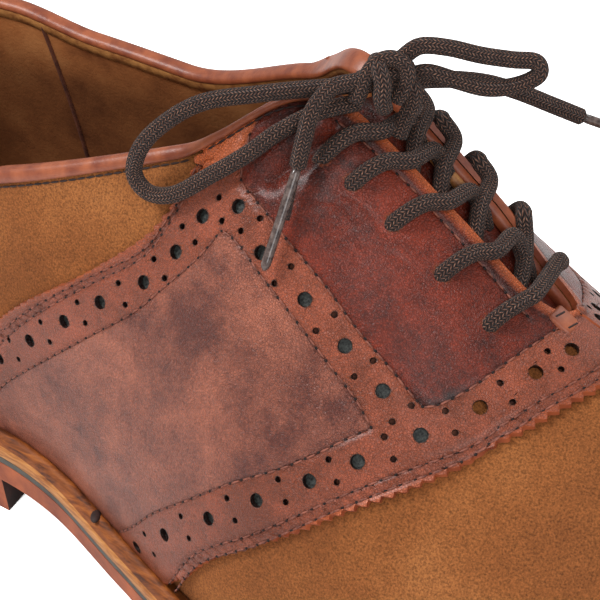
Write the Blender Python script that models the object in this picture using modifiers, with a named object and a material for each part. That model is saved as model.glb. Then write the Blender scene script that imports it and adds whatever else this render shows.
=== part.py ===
"""Saddle shoe for the right foot, standing empty on its sole.

The toe points along +X, the outer side of the foot is -Y and +Z is up. The origin is the centre
of the heel's bottom face. Sizes are in millimetres, with x measured from the back of the heel,
and turn into metres where a mesh is made.
"""

import math
from collections import namedtuple

import bmesh
import bpy
import numpy as np
from mathutils import Vector

METRE = 0.001
GAP = 0.25
OUTER = -1
INNER = 1

# The last. Each row is one section, from the back of the heel (row 0) to the tip of the toe
# (row 14). Ridge is the line along the top of the foot, only notional over the open collar.
# Side has foot_x and foot_y, where the upper meets the welt, then spread and drop, which take
# the upper's top edge sideways and down from the ridge, then the lean in degrees and the reach
# of the section's curve at its foot and at its top.
Ridge = namedtuple("Ridge", "x y z")
Side = namedtuple("Side", "foot_x foot_y spread drop foot_lean foot_reach top_lean top_reach")
RIDGE = [
    Ridge(6.0, 0.0, 118.0),
    Ridge(12.5, 0.0, 118.0),
    Ridge(28.0, 0.0, 118.0),
    Ridge(46.0, 0.5, 118.0),
    Ridge(66.0, 1.0, 118.0),
    Ridge(88.0, 2.0, 116.0),
    Ridge(124.0, 3.0, 112.0),
    Ridge(149.0, 3.5, 99.0),
    Ridge(170.5, 4.0, 79.5),
    Ridge(189.0, 4.0, 62.0),
    Ridge(205.0, 4.5, 55.5),
    Ridge(224.0, 5.0, 52.0),
    Ridge(242.0, 5.0, 49.5),
    Ridge(255.0, 5.5, 46.5),
    Ridge(263.0, 5.5, 44.0),
]
OUTER_SIDE = [
    Side(0.0, 0.0, 0.0, 36.0, 8.0, 22.0, 86.0, 20.0),
    Side(5.0, -17.5, 11.0, 37.0, 8.0, 22.0, 84.0, 18.0),
    Side(20.0, -28.5, 22.0, 40.0, 7.0, 20.0, 82.0, 16.0),
    Side(44.0, -31.0, 26.8, 42.4, 6.0, 18.0, 80.0, 14.0),
    Side(69.0, -30.0, 28.0, 45.0, 6.0, 17.0, 78.0, 14.0),
    Side(93.0, -33.0, 27.0, 36.0, 8.0, 18.0, 72.0, 16.0),
    Side(116.0, -40.5, 18.4, 22.5, 8.0, 22.0, 50.0, 24.0),
    Side(140.0, -48.0, 4.8, 2.0, 10.0, 24.0, 25.0, 26.0),
    Side(163.0, -51.5, 4.5, 1.2, 12.0, 24.0, 14.0, 26.0),
    Side(187.0, -51.5, 0.0, 0.0, 14.0, 23.0, 0.0, 26.0),
    Side(212.0, -48.5, 0.0, 0.0, 14.0, 20.0, 0.0, 26.0),
    Side(237.0, -41.0, 0.0, 0.0, 14.0, 18.0, 0.0, 23.0),
    Side(260.0, -31.0, 0.0, 0.0, 14.0, 16.0, 0.0, 18.0),
    Side(279.0, -16.5, 0.0, 0.0, 14.0, 15.0, 0.0, 15.0),
    Side(287.0, 6.0, 0.0, 0.0, 14.0, 14.0, 0.0, 14.0),
]
INNER_SIDE = [
    Side(0.0, 0.0, 0.0, 36.0, 8.0, 22.0, 86.0, 20.0),
    Side(5.0, 17.5, 11.0, 37.0, 8.0, 22.0, 84.0, 18.0),
    Side(20.0, 28.5, 21.2, 36.5, 7.0, 20.0, 82.0, 16.0),
    Side(44.0, 30.5, 23.5, 37.5, 8.0, 18.0, 80.0, 14.0),
    Side(69.0, 28.5, 25.0, 42.0, 14.0, 18.0, 80.0, 14.0),
    Side(93.0, 26.5, 25.2, 42.5, 22.0, 22.0, 76.0, 16.0),
    Side(116.0, 27.5, 18.2, 26.0, 22.0, 26.0, 60.0, 20.0),
    Side(140.0, 31.5, 5.1, 1.6, 20.0, 28.0, 58.0, 18.0),
    Side(163.0, 37.5, 4.6, 1.2, 16.0, 28.0, 58.0, 17.0),
    Side(187.0, 43.5, 0.0, 0.0, 14.0, 20.0, 30.0, 10.0),
    Side(212.0, 46.5, 0.0, 0.0, 14.0, 20.0, 16.0, 14.0),
    Side(237.0, 43.5, 0.0, 0.0, 14.0, 19.0, 8.0, 22.0),
    Side(260.0, 37.5, 0.0, 0.0, 14.0, 16.0, 0.0, 18.0),
    Side(279.0, 26.0, 0.0, 0.0, 14.0, 15.0, 0.0, 15.0),
    Side(287.0, 6.0, 0.0, 0.0, 14.0, 14.0, 0.0, 14.0),
]
SIDES = {OUTER: OUTER_SIDE, INNER: INNER_SIDE}
LAST_ROW = len(RIDGE) - 1
THROAT_TOP_ROW = 7
THROAT_BASE_ROW = 9
UPPER_WALL = 2.2

# The sole: heights of its underside over the floor and thickness of the outsole, along x. The
# heel seat and the forefoot are flat.
HEEL_CENTRE_X = 34.0
HEEL_HEIGHT = 9.0
UNDERSIDE_X = [-10.0, 78.0, 106.0, 138.0, 165.0, 205.0, 240.0, 270.0, 300.0]
UNDERSIDE_Z = [9.0, 9.0, 6.2, 2.2, 0.0, 0.0, 2.0, 6.0, 11.5]
OUTSOLE_X = [-10.0, 70.0, 150.0, 300.0]
OUTSOLE_THICK = [5.0, 5.0, 3.8, 3.6]
MIDSOLE_THICK = 1.0
WELT_THICK = 3.5
SOLE_BEYOND_UPPER = 4.6
HEEL_INSET = 0.6
HEEL_BREAST_ROW = 4.15
HEEL_BREAST_HOLLOW = 3.0
INSOLE_INSET = 2.85
INSOLE_OVER_WELT = 1.8
# The welt's section, as steps out from the upper's foot and up from the welt's underside. The
# storm bead stands against the upper, with a groove outside it.
WELT_SECTION = [
    (-2.4, 0.0),
    (SOLE_BEYOND_UPPER, 0.0),
    (SOLE_BEYOND_UPPER, 3.0),
    (4.1, 3.2),
    (3.8, 4.4),
    (3.1, 4.9),
    (2.4, 4.6),
    (2.1, WELT_THICK),
    (-2.4, WELT_THICK),
]

# The saddle: where its two edges cross the last, as rows at fractions of the way up the side.
SADDLE_LOW = 0.03
SADDLE_LIFT = 0.99
SADDLE_THICK = 1.1
SADDLE_UP = [0.0, 0.2, 0.35, 0.5, 0.6, 0.7, 0.8, 0.9, 1.0]
SADDLE_REAR_ROW = [3.1, 3.6, 4.1, 4.72, 5.15, 5.6, 5.96, 6.12, 6.1]
SADDLE_FRONT_ROW = [6.52, 7.2, 7.9, 8.46, 8.8, 9.15, 9.42, 9.7, 9.95]
BINDING_DEPTH = 4.2
BINDING_END_ROW = 20 / 3
# The collar binding's section, as steps out from the upper's face and down from its top edge.
BINDING_SECTION = [
    (0.55, BINDING_DEPTH),
    (1.6, BINDING_DEPTH),
    (1.6, -0.6),
    (0.8, -1.5),
    (-3.0, -1.5),
    (-3.9, -0.6),
    (-3.9, 3.0),
    (-2.8, 3.0),
    (-2.8, -0.65),
    (0.55, -0.65),
]

# The tongue, as half widths at rows, under the facings.
TONGUE_UNDER = 3.0
TONGUE_THICK = 1.8
TONGUE_ROW = [7.02, 7.12, 7.35, 7.8, 8.6, 9.3, 9.6]
TONGUE_HALF_WIDTH = [4.0, 10.0, 16.0, 19.0, 19.0, 15.0, 9.0]

# The lace: eyelet rows from the throat's base up, and how far up the side they lie.
LACE_RADIUS = 1.5
LACE_LIFT = SADDLE_LIFT + SADDLE_THICK + 0.55 + LACE_RADIUS
LACE_EDGE_RISE = 0.9
EYELET_ROWS = [8.56, 8.12, 7.7, 7.36, 7.12]
EYELET_UP = 0.885
LACE_DIP_ROW = 0.22
LACE_DIP = 0.7

# The bow. Each route is a hand-picked list of points that its cord passes through.
KNOT_CENTRE = (157.3, 2.6, 102.0)
KNOT_RADII = (5.0, 5.6, 4.2)
KNOT_CLEARANCE = 0.35
NEAR_LOOP = [
    (153.4, 1.4, 100.4),
    (147.3, -3.9, 101.2),
    (138.5, -10.2, 101.2),
    (129.1, -16.1, 100.0),
    (121.6, -21.5, 94.6),
    (118.6, -23.8, 88.2),
    (121.4, -24.3, 84.6),
    (126.7, -23.2, 85.0),
    (133.2, -20.0, 89.0),
    (139.0, -16.8, 92.8),
    (143.4, -12.6, 96.2),
    (148.0, -6.6, 99.0),
    (153.4, -0.6, 100.4),
]
FAR_LOOP = [
    (157.5, 5.6, 104.0),
    (159.8, 8.0, 106.0),
    (164.0, 10.4, 105.4),
    (168.3, 13.4, 103.4),
    (172.5, 16.6, 101.8),
    (175.6, 19.0, 100.8),
    (176.2, 18.6, 98.6),
    (173.2, 16.0, 97.2),
    (169.4, 12.6, 97.6),
    (165.4, 9.8, 99.6),
    (161.4, 7.6, 101.4),
]
NEAR_END = [
    (154.6, -0.6, 102.6),
    (152.6, -3.0, 103.0),
    (150.6, -6.0, 103.0),
    (149.5, -10.3, 100.6),
    (149.2, -13.2, 96.5),
    (149.2, -15.9, 92.4),
]
NEAR_AGLET = [(149.2, -16.15, 92.1), (148.6, -27.6, 78.4)]
FAR_END = [
    (158.8, 6.6, 99.6),
    (160.6, 9.8, 98.6),
    (163.8, 13.4, 97.4),
    (167.0, 17.2, 95.4),
    (170.4, 21.2, 92.2),
    (174.0, 25.4, 88.2),
    (177.4, 29.6, 84.2),
]
FAR_AGLET = [(177.6, 29.8, 84.0), (188.8, 43.4, 72.2)]
AGLET_RADIUS = 1.35

# How finely each part is cut, as counts along and across it and spacings along a cord.
MERGE_DISTANCE = 2e-5
UPPER_COLUMNS = 42
UPPER_RINGS = 10
SADDLE_BEHIND = 4
SADDLE_BESIDE = 7
SADDLE_AHEAD = 3
SADDLE_RINGS = 16
BINDING_COLUMNS = 40
TONGUE_COLUMNS = 14
TONGUE_RINGS = 10
SLAB_COLUMNS = 42
SLAB_RINGS = 2
HEEL_RINGS = 6
WELT_COLUMNS = 72
ROUTE_STEPS = 12
LACE_ROW_SPACING = 3.2
BOW_SPACING = 5.0
# A point inside the shoe, which its sheets face away from.
HEART = (140.0, 2.0, 30.0)


def steady_curve(xs, ys, x):
    """A smooth curve through the points that never swings past them."""
    step = np.diff(xs)
    rise = np.diff(ys) / step
    slope = [rise[0]]
    for before, after in zip(rise, rise[1:]):
        slope.append(2 * before * after / (before + after) if before * after > 0 else 0.0)
    slope.append(rise[-1])
    i = int(np.clip(np.searchsorted(xs, x) - 1, 0, len(step) - 1))
    t = min(max((x - xs[i]) / step[i], 0.0), 1.0)
    start = (2 * t**3 - 3 * t**2 + 1) * ys[i] + (t**3 - 2 * t**2 + t) * step[i] * slope[i]
    end = (3 * t**2 - 2 * t**3) * ys[i + 1] + (t**3 - t**2) * step[i] * slope[i + 1]
    return float(start + end)


def round_curve(value_at, row):
    """A smooth curve through the values at whole rows."""
    i = min(int(row), LAST_ROW - 1)
    t = row - i
    a, b, c, d = (value_at(i + n) for n in (-1, 0, 1, 2))
    return b + 0.5 * t * (c - a + t * (2 * a - 5 * b + 4 * c - d + t * (3 * (b - c) + d - a)))


def looped(side, column, row):
    """A column of the side's table, running on round the heel and the toe to the other side."""

    def value_at(i):
        if i < 0:
            return getattr(SIDES[-side][-i], column)
        if i > LAST_ROW:
            return getattr(SIDES[-side][2 * LAST_ROW - i], column)
        return getattr(SIDES[side][i], column)

    return round_curve(value_at, row)


def held(side, column, row):
    """A column of the side's table, with no swing past its values."""
    return steady_curve(range(LAST_ROW + 1), [getattr(r, column) for r in SIDES[side]], row)


def ridge(row):
    def along(column):
        def value_at(i):
            if i < 0:
                return getattr(RIDGE[-i], column)
            if i > LAST_ROW:
                return 2 * getattr(RIDGE[LAST_ROW], column) - getattr(RIDGE[2 * LAST_ROW - i], column)
            return getattr(RIDGE[i], column)

        return round_curve(value_at, row)

    return Vector((along("x"), along("y"), along("z")))


def underside(x):
    return steady_curve(UNDERSIDE_X, UNDERSIDE_Z, x)


def outsole_top(x):
    return underside(x) + steady_curve(OUTSOLE_X, OUTSOLE_THICK, x)


def midsole_top(x):
    return outsole_top(x) + GAP + MIDSOLE_THICK


def welt_base(x):
    return midsole_top(x) + GAP


def foot_line(side, row):
    """Where the upper's face meets the welt."""
    x = looped(side, "foot_x", row)
    return Vector((x, looped(side, "foot_y", row), welt_base(x) + WELT_THICK + GAP))


def outward(side, row):
    """The level direction straight out from the foot line."""
    step = 0.02
    if row < step:
        return Vector((-1.0, 0.0, 0.0))
    if row > LAST_ROW - step:
        return Vector((1.0, 0.0, 0.0))
    along = foot_line(side, row + step) - foot_line(side, row - step)
    return Vector((-side * along.y, side * along.x, 0.0)).normalized()


def throat_trim(side, row):
    """How far up the section's curve the facing's edge lies, so that the throat ends round."""
    base_rows = THROAT_BASE_ROW - 1
    if not base_rows < row < THROAT_BASE_ROW:
        return 1.0
    half_gap = SIDES[side][base_rows].spread * math.sqrt(1 - (row - base_rows) ** 4)
    missing = max(0.0, half_gap - held(side, "spread", row))
    return 1 - missing / (3 * looped(side, "top_reach", row))


def last_face(side, row, up):
    """A point on the upper's face: up is 0 at the welt and 1 at the top edge or the ridge."""
    foot = foot_line(side, row)
    out = outward(side, row)
    spread = Vector((0.0, side * held(side, "spread", row), -held(side, "drop", row)))
    top = ridge(row) + spread
    ahead = ridge(min(row + 0.05, LAST_ROW))
    behind = ridge(max(row - 0.05, 0))
    slope = (ahead.z - behind.z) / max(ahead.x - behind.x, 1e-6)
    slope *= min(max((row - 6) / 1.5, 0.0), 1.0)
    foot_lean = math.radians(looped(side, "foot_lean", row))
    top_lean = math.radians(looped(side, "top_lean", row))
    rise = Vector((0.0, 0.0, 1.0))
    low = foot + looped(side, "foot_reach", row) * (out * math.sin(foot_lean) + rise * math.cos(foot_lean))
    fall = math.sin(top_lean) - slope * out.x
    high = top + looped(side, "top_reach", row) * (out * math.cos(top_lean) - rise * fall)
    t = up * throat_trim(side, row)
    s = 1 - t
    return s**3 * foot + 3 * s * s * t * low + 3 * s * t * t * high + t**3 * top


def face_normal(side, row, up):
    step = 0.02
    along = last_face(side, min(row + step, LAST_ROW), up) - last_face(side, max(row - step, 0), up)
    across = last_face(side, row, min(up + step, 1)) - last_face(side, row, max(up - step, 0))
    return (along.cross(across) * -side).normalized()


def lifted(side, row, up, height):
    """A point at a height over the upper's face."""
    return last_face(side, row, up) + face_normal(side, row, up) * height


def down_from_top(side, row, distance):
    """How far up the section lies at a distance below its top edge, along the face."""
    up = 1.0
    here = last_face(side, row, up)
    left = distance
    while up > 0:
        step = last_face(side, row, up - 0.02)
        run = (here - step).length
        if run >= left:
            return up - 0.02 * left / run
        left -= run
        here = step
        up -= 0.02
    return 0.0


def placed(point):
    """Millimetres from the back of the heel to metres from the origin."""
    return Vector((point[0] - HEEL_CENTRE_X, point[1], point[2])) * METRE


def material(name, colour, roughness, metallic=0.0):
    made = bpy.data.materials.new(name)
    made.use_nodes = True
    shader = made.node_tree.nodes["Principled BSDF"]
    shader.inputs["Base Color"].default_value = (*colour, 1.0)
    shader.inputs["Roughness"].default_value = roughness
    shader.inputs["Metallic"].default_value = metallic
    return made


def add_part(name, data, look):
    """Put a mesh or curve into the shoe's collection under its node's name."""
    data.materials.append(look)
    part = bpy.data.objects.new(name, data)
    shoe.objects.link(part)
    return part


def finish(bm, name, look):
    """Turn a bmesh into a smooth-shaded part of the shoe."""
    bmesh.ops.recalc_face_normals(bm, faces=bm.faces)
    mesh = bpy.data.meshes.new(name)
    bm.to_mesh(mesh)
    bm.free()
    mesh.shade_smooth()
    mesh.set_sharp_from_angle(angle=math.radians(40))
    return add_part(name, mesh, look)


def add_grid(bm, columns, rings, place):
    """Add a grid whose points are placed by their column and ring."""
    made = bmesh.ops.create_grid(bm, x_segments=columns, y_segments=rings, size=0.5)
    for vert in made["verts"]:
        column = round((vert.co.x + 0.5) * columns)
        ring = round((vert.co.y + 0.5) * rings)
        vert.co = placed(place(column, ring))


def weld(bm):
    bmesh.ops.remove_doubles(bm, verts=bm.verts, dist=MERGE_DISTANCE)
    bmesh.ops.dissolve_degenerate(bm, edges=bm.edges, dist=MERGE_DISTANCE)


def lift_sheet(bm, height, inside):
    """Face an open sheet away from a point inside it, and move it out along its normals."""
    bmesh.ops.recalc_face_normals(bm, faces=bm.faces)
    bm.normal_update()
    heart = placed(inside)
    facing_out = sum(face.normal.dot(face.calc_center_median() - heart) for face in bm.faces)
    if facing_out < 0:
        bmesh.ops.reverse_faces(bm, faces=bm.faces)
        bm.normal_update()
    moves = [(vert, vert.normal.copy()) for vert in bm.verts]
    for vert, normal in moves:
        vert.co += normal * height * METRE


def add_sheet(bm, name, look, thickness, offset):
    """Turn an open sheet that already faces out into a part with a wall."""
    mesh = bpy.data.meshes.new(name)
    bm.to_mesh(mesh)
    bm.free()
    mesh.shade_smooth()
    part = add_part(name, mesh, look)
    solid = part.modifiers.new("Solidify", "SOLIDIFY")
    solid.thickness = thickness * METRE
    solid.offset = offset
    solid.use_rim = True
    return part


def make_upper(look):
    bm = bmesh.new()
    for side in (OUTER, INNER):
        add_grid(
            bm,
            UPPER_COLUMNS,
            UPPER_RINGS,
            lambda column, ring: last_face(
                side, LAST_ROW * column / UPPER_COLUMNS, ring / UPPER_RINGS
            ),
        )
    weld(bm)
    lift_sheet(bm, 0.0, HEART)
    add_sheet(bm, "upper", look, UPPER_WALL, offset=-1)


def saddle_top_row(nth):
    """The row at which a column of the saddle reaches its top edge."""
    rear_top = SADDLE_REAR_ROW[-1]
    if nth <= SADDLE_BEHIND:
        return rear_top + (THROAT_TOP_ROW - rear_top) * nth / SADDLE_BEHIND
    nth -= SADDLE_BEHIND
    if nth <= SADDLE_BESIDE:
        return THROAT_TOP_ROW + (THROAT_BASE_ROW - THROAT_TOP_ROW) * nth / SADDLE_BESIDE
    nth -= SADDLE_BESIDE
    return THROAT_BASE_ROW + (SADDLE_FRONT_ROW[-1] - THROAT_BASE_ROW) * nth / SADDLE_AHEAD


def saddle_point(side, nth, share_up):
    top_row = saddle_top_row(nth)
    share = (top_row - SADDLE_REAR_ROW[-1]) / (SADDLE_FRONT_ROW[-1] - SADDLE_REAR_ROW[-1])
    rear = steady_curve(SADDLE_UP, SADDLE_REAR_ROW, share_up)
    front = steady_curve(SADDLE_UP, SADDLE_FRONT_ROW, share_up)
    row = rear + (front - rear) * share
    high = 1.0
    if nth < SADDLE_BEHIND:
        high = down_from_top(side, row, BINDING_DEPTH + 4 * GAP)
    return last_face(side, row, SADDLE_LOW + (high - SADDLE_LOW) * share_up)


def make_saddle(look):
    """One overlay over both sides, joined over the vamp below the throat."""
    columns = SADDLE_BEHIND + SADDLE_BESIDE + SADDLE_AHEAD
    bm = bmesh.new()
    for side in (OUTER, INNER):
        add_grid(
            bm,
            columns,
            SADDLE_RINGS,
            lambda column, ring: saddle_point(side, column, ring / SADDLE_RINGS),
        )
    weld(bm)
    lift_sheet(bm, SADDLE_LIFT, HEART)
    add_sheet(bm, "saddle", look, SADDLE_THICK, offset=1)


def make_binding(look):
    """The collar's bound edge, from one top corner of the throat round the heel to the other."""
    half = BINDING_COLUMNS // 2

    def place(column, ring):
        side = OUTER if column <= half else INNER
        row = BINDING_END_ROW * abs(half - column) / half
        out, down = BINDING_SECTION[ring % len(BINDING_SECTION)]
        top = last_face(side, row, 1.0)
        below = (last_face(side, row, 0.97) - top).normalized()
        return top + face_normal(side, row, 1.0) * out + below * down

    bm = bmesh.new()
    add_grid(bm, BINDING_COLUMNS, len(BINDING_SECTION), place)
    weld(bm)
    bmesh.ops.holes_fill(bm, edges=bm.edges, sides=len(BINDING_SECTION))
    finish(bm, "collar_binding", look)


def tongue_point(row, across):
    """A point on the last over the tongue, bridging the throat: across is -1 to 1."""
    side = OUTER if across < 0 else INNER
    reach = abs(across) * steady_curve(TONGUE_ROW, TONGUE_HALF_WIDTH, row)
    edge = last_face(side, row, 1.0)
    middle = ridge(row)
    span = abs(edge.y - middle.y)
    if reach <= span:
        share = reach / max(span, 1e-6)
        return middle.lerp(edge, share) + Vector((0.0, 0.0, (edge.z - middle.z) * (share - 1) * share))
    return last_face(side, row, down_from_top(side, row, reach - span))


def make_tongue(look):
    bm = bmesh.new()
    first = TONGUE_ROW[0]
    last = TONGUE_ROW[-1]
    add_grid(
        bm,
        TONGUE_COLUMNS,
        TONGUE_RINGS,
        lambda column, ring: tongue_point(
            first + (last - first) * column / TONGUE_COLUMNS, 2 * ring / TONGUE_RINGS - 1
        ),
    )
    lift_sheet(bm, -TONGUE_UNDER, HEART)
    add_sheet(bm, "tongue", look, TONGUE_THICK, offset=-1)


def sole_outline(side, row, beyond):
    foot = foot_line(side, row)
    return foot + outward(side, row) * beyond


def make_slab(name, look, beyond, low, high, last_row=LAST_ROW, rings=SLAB_RINGS, hollow=0.0):
    """A layer of the sole between two heights given along x, out to a line beside the foot line."""
    bm = bmesh.new()

    def place(column, ring):
        row = last_row * column / SLAB_COLUMNS
        share = ring / rings
        point = sole_outline(OUTER, row, beyond).lerp(sole_outline(INNER, row, beyond), share)
        if column == SLAB_COLUMNS:
            point.x -= hollow * 4 * share * (1 - share)
        return (point.x, point.y, low(point.x))

    add_grid(bm, SLAB_COLUMNS, rings, place)
    weld(bm)
    above = bmesh.ops.extrude_face_region(bm, geom=bm.faces[:])
    for vert in above["geom"]:
        if isinstance(vert, bmesh.types.BMVert):
            vert.co.z = high(vert.co.x / METRE + HEEL_CENTRE_X) * METRE
    return finish(bm, name, look)


def make_welt(look):
    half = WELT_COLUMNS // 2

    def place(column, ring):
        side = OUTER if column <= half else INNER
        row = LAST_ROW * (1 - abs(half - column) / half)
        out, over = WELT_SECTION[ring % len(WELT_SECTION)]
        point = sole_outline(side, row, out)
        return (point.x, point.y, welt_base(point.x) + over)

    bm = bmesh.new()
    add_grid(bm, WELT_COLUMNS, len(WELT_SECTION), place)
    weld(bm)
    finish(bm, "welt", look)


def smooth_route(route):
    """Many points along a smooth curve through the route's points."""
    points = [Vector(p) for p in route]
    points = [2 * points[0] - points[1]] + points + [2 * points[-1] - points[-2]]
    fine = []
    for a, b, c, d in zip(points, points[1:], points[2:], points[3:]):
        for n in range(ROUTE_STEPS):
            t = n / ROUTE_STEPS
            bend = 2 * a - 5 * b + 4 * c - d
            twist = 3 * b - a - 3 * c + d
            fine.append(b + 0.5 * t * (c - a + bend * t + twist * t * t))
    fine.append(points[-2])
    return fine


def clear_of_knot(point):
    """Whether a cord of the bow that passes through a point stays out of the knot."""
    reach = LACE_RADIUS + KNOT_CLEARANCE
    shares = [(a - b) / (r + reach) for a, b, r in zip(point, KNOT_CENTRE, KNOT_RADII)]
    return sum(share * share for share in shares) > 1


def spaced_points(fine, spacing):
    """Points at about even spacing along a run of many points."""
    runs = [0.0]
    for before, after in zip(fine, fine[1:]):
        runs.append(runs[-1] + (after - before).length)
    count = max(2, round(runs[-1] / spacing))
    picked = []
    for n in range(count + 1):
        target = runs[-1] * n / count
        at = int(np.clip(np.searchsorted(runs, target), 1, len(runs) - 1))
        share = (target - runs[at - 1]) / (runs[at] - runs[at - 1])
        picked.append(fine[at - 1].lerp(fine[at], share))
    return picked


def make_cord(name, look, points, radius):
    data = bpy.data.curves.new(name, "CURVE")
    data.dimensions = "3D"
    data.bevel_depth = radius * METRE
    data.bevel_resolution = 2
    data.use_fill_caps = True
    spline = data.splines.new("POLY")
    spline.points.add(len(points) - 1)
    for spot, point in zip(spline.points, points):
        spot.co = (*placed(point), 1.0)
    return add_part(name, data, look)


def lace_row_route(eyelet_row, dip_row, dip):
    """From the outer eyelet over both facings' edges to the inner one, dipping in the gap."""
    halves = {}
    for side in (OUTER, INNER):
        edge = lifted(side, eyelet_row + dip_row * 0.3, 1.0, LACE_LIFT + 0.6)
        edge.z += LACE_EDGE_RISE
        halves[side] = [
            lifted(side, eyelet_row, EYELET_UP, LACE_LIFT),
            lifted(side, eyelet_row + dip_row * 0.12, (EYELET_UP + 1) / 2, LACE_LIFT + 0.3),
            edge,
        ]
    middle = lifted(OUTER, eyelet_row + dip_row, 1.0, dip)
    middle.y = ridge(eyelet_row).y
    return halves[OUTER] + [middle] + halves[INNER][::-1]


def make_knot(look):
    bm = bmesh.new()
    made = bmesh.ops.create_uvsphere(bm, u_segments=20, v_segments=12, radius=1.0)
    for vert in made["verts"]:
        stretched = [centre + radius * along for centre, radius, along in
                     zip(KNOT_CENTRE, KNOT_RADII, vert.co)]
        vert.co = placed(stretched)
    finish(bm, "lace_knot", look)


def make_laces(look, aglet_look):
    for nth, eyelet_row in enumerate(EYELET_ROWS, 1):
        straight = nth == 1
        dip_row = 0.0 if straight else LACE_DIP_ROW
        dip = LACE_LIFT if straight else LACE_DIP
        fine = smooth_route(lace_row_route(eyelet_row, dip_row, dip))
        points = spaced_points(fine, LACE_ROW_SPACING)
        make_cord(f"lace_row_{nth}", look, points, LACE_RADIUS)
    make_knot(look)
    for name, route in (
        ("lace_loop_near", NEAR_LOOP),
        ("lace_loop_far", FAR_LOOP),
        ("lace_end_near", NEAR_END),
        ("lace_end_far", FAR_END),
    ):
        fine = [point for point in smooth_route(route) if clear_of_knot(point)]
        make_cord(name, look, spaced_points(fine, BOW_SPACING), LACE_RADIUS)
    for name, ends in (("aglet_near", NEAR_AGLET), ("aglet_far", FAR_AGLET)):
        make_cord(name, aglet_look, [Vector(end) for end in ends], AGLET_RADIUS)


for old in list(bpy.data.objects):
    bpy.data.objects.remove(old)
shoe = bpy.data.collections.new("saddle_shoe")
bpy.context.scene.collection.children.link(shoe)

suede = material("golden_brown_suede", (0.38, 0.14, 0.035), 0.95)
smooth_leather = material("red_brown_leather", (0.19, 0.04, 0.018), 0.35)
edge_leather = material("orange_brown_leather", (0.48, 0.12, 0.045), 0.5)
lining = material("lining_leather", (0.22, 0.08, 0.028), 0.7)
welt_leather = material("tan_welt", (0.42, 0.16, 0.06), 0.5)
dark_rubber = material("dark_rubber", (0.06, 0.06, 0.055), 0.7)
sole_rubber = material("red_brown_sole", (0.4, 0.13, 0.06), 0.6)
lace_cloth = material("dark_brown_lace", (0.04, 0.02, 0.014), 0.8)
aglet_plastic = material("aglet_plastic", (0.12, 0.09, 0.075), 0.3)

make_slab("outsole", sole_rubber, SOLE_BEYOND_UPPER, underside, outsole_top)
make_slab(
    "heel",
    sole_rubber,
    SOLE_BEYOND_UPPER - HEEL_INSET,
    lambda x: 0.0,
    lambda x: HEEL_HEIGHT - GAP,
    last_row=HEEL_BREAST_ROW,
    rings=HEEL_RINGS,
    hollow=HEEL_BREAST_HOLLOW,
)
make_slab(
    "midsole", dark_rubber, SOLE_BEYOND_UPPER, lambda x: outsole_top(x) + GAP, midsole_top
)
make_slab(
    "insole",
    lining,
    -INSOLE_INSET,
    welt_base,
    lambda x: welt_base(x) + WELT_THICK + INSOLE_OVER_WELT,
)
make_welt(welt_leather)
make_upper(suede)
make_saddle(smooth_leather)
make_binding(edge_leather)
make_tongue(smooth_leather)
make_laces(lace_cloth, aglet_plastic)
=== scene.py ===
# Saddle shoe for the right foot: suede upper, smooth leather saddle, round laces in a bow.
# Sizes are millimetres from the back of the heel; toWorld turns them into metres from the origin.

import math

import bmesh
import bpy
import numpy as np
from mathutils import Matrix, Vector


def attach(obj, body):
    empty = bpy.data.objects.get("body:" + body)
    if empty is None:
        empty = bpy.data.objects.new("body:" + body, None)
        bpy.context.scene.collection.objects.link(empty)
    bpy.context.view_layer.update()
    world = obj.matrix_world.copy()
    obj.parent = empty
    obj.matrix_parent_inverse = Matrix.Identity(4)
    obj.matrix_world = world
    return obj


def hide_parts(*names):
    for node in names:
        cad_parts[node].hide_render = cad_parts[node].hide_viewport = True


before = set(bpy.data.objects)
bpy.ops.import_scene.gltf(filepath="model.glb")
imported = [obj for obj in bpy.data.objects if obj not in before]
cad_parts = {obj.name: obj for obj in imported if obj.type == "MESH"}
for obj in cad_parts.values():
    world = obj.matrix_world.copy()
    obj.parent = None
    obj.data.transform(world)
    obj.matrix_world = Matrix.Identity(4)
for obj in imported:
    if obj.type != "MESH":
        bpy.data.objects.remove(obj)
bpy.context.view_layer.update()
print("frame loaded")

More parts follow.
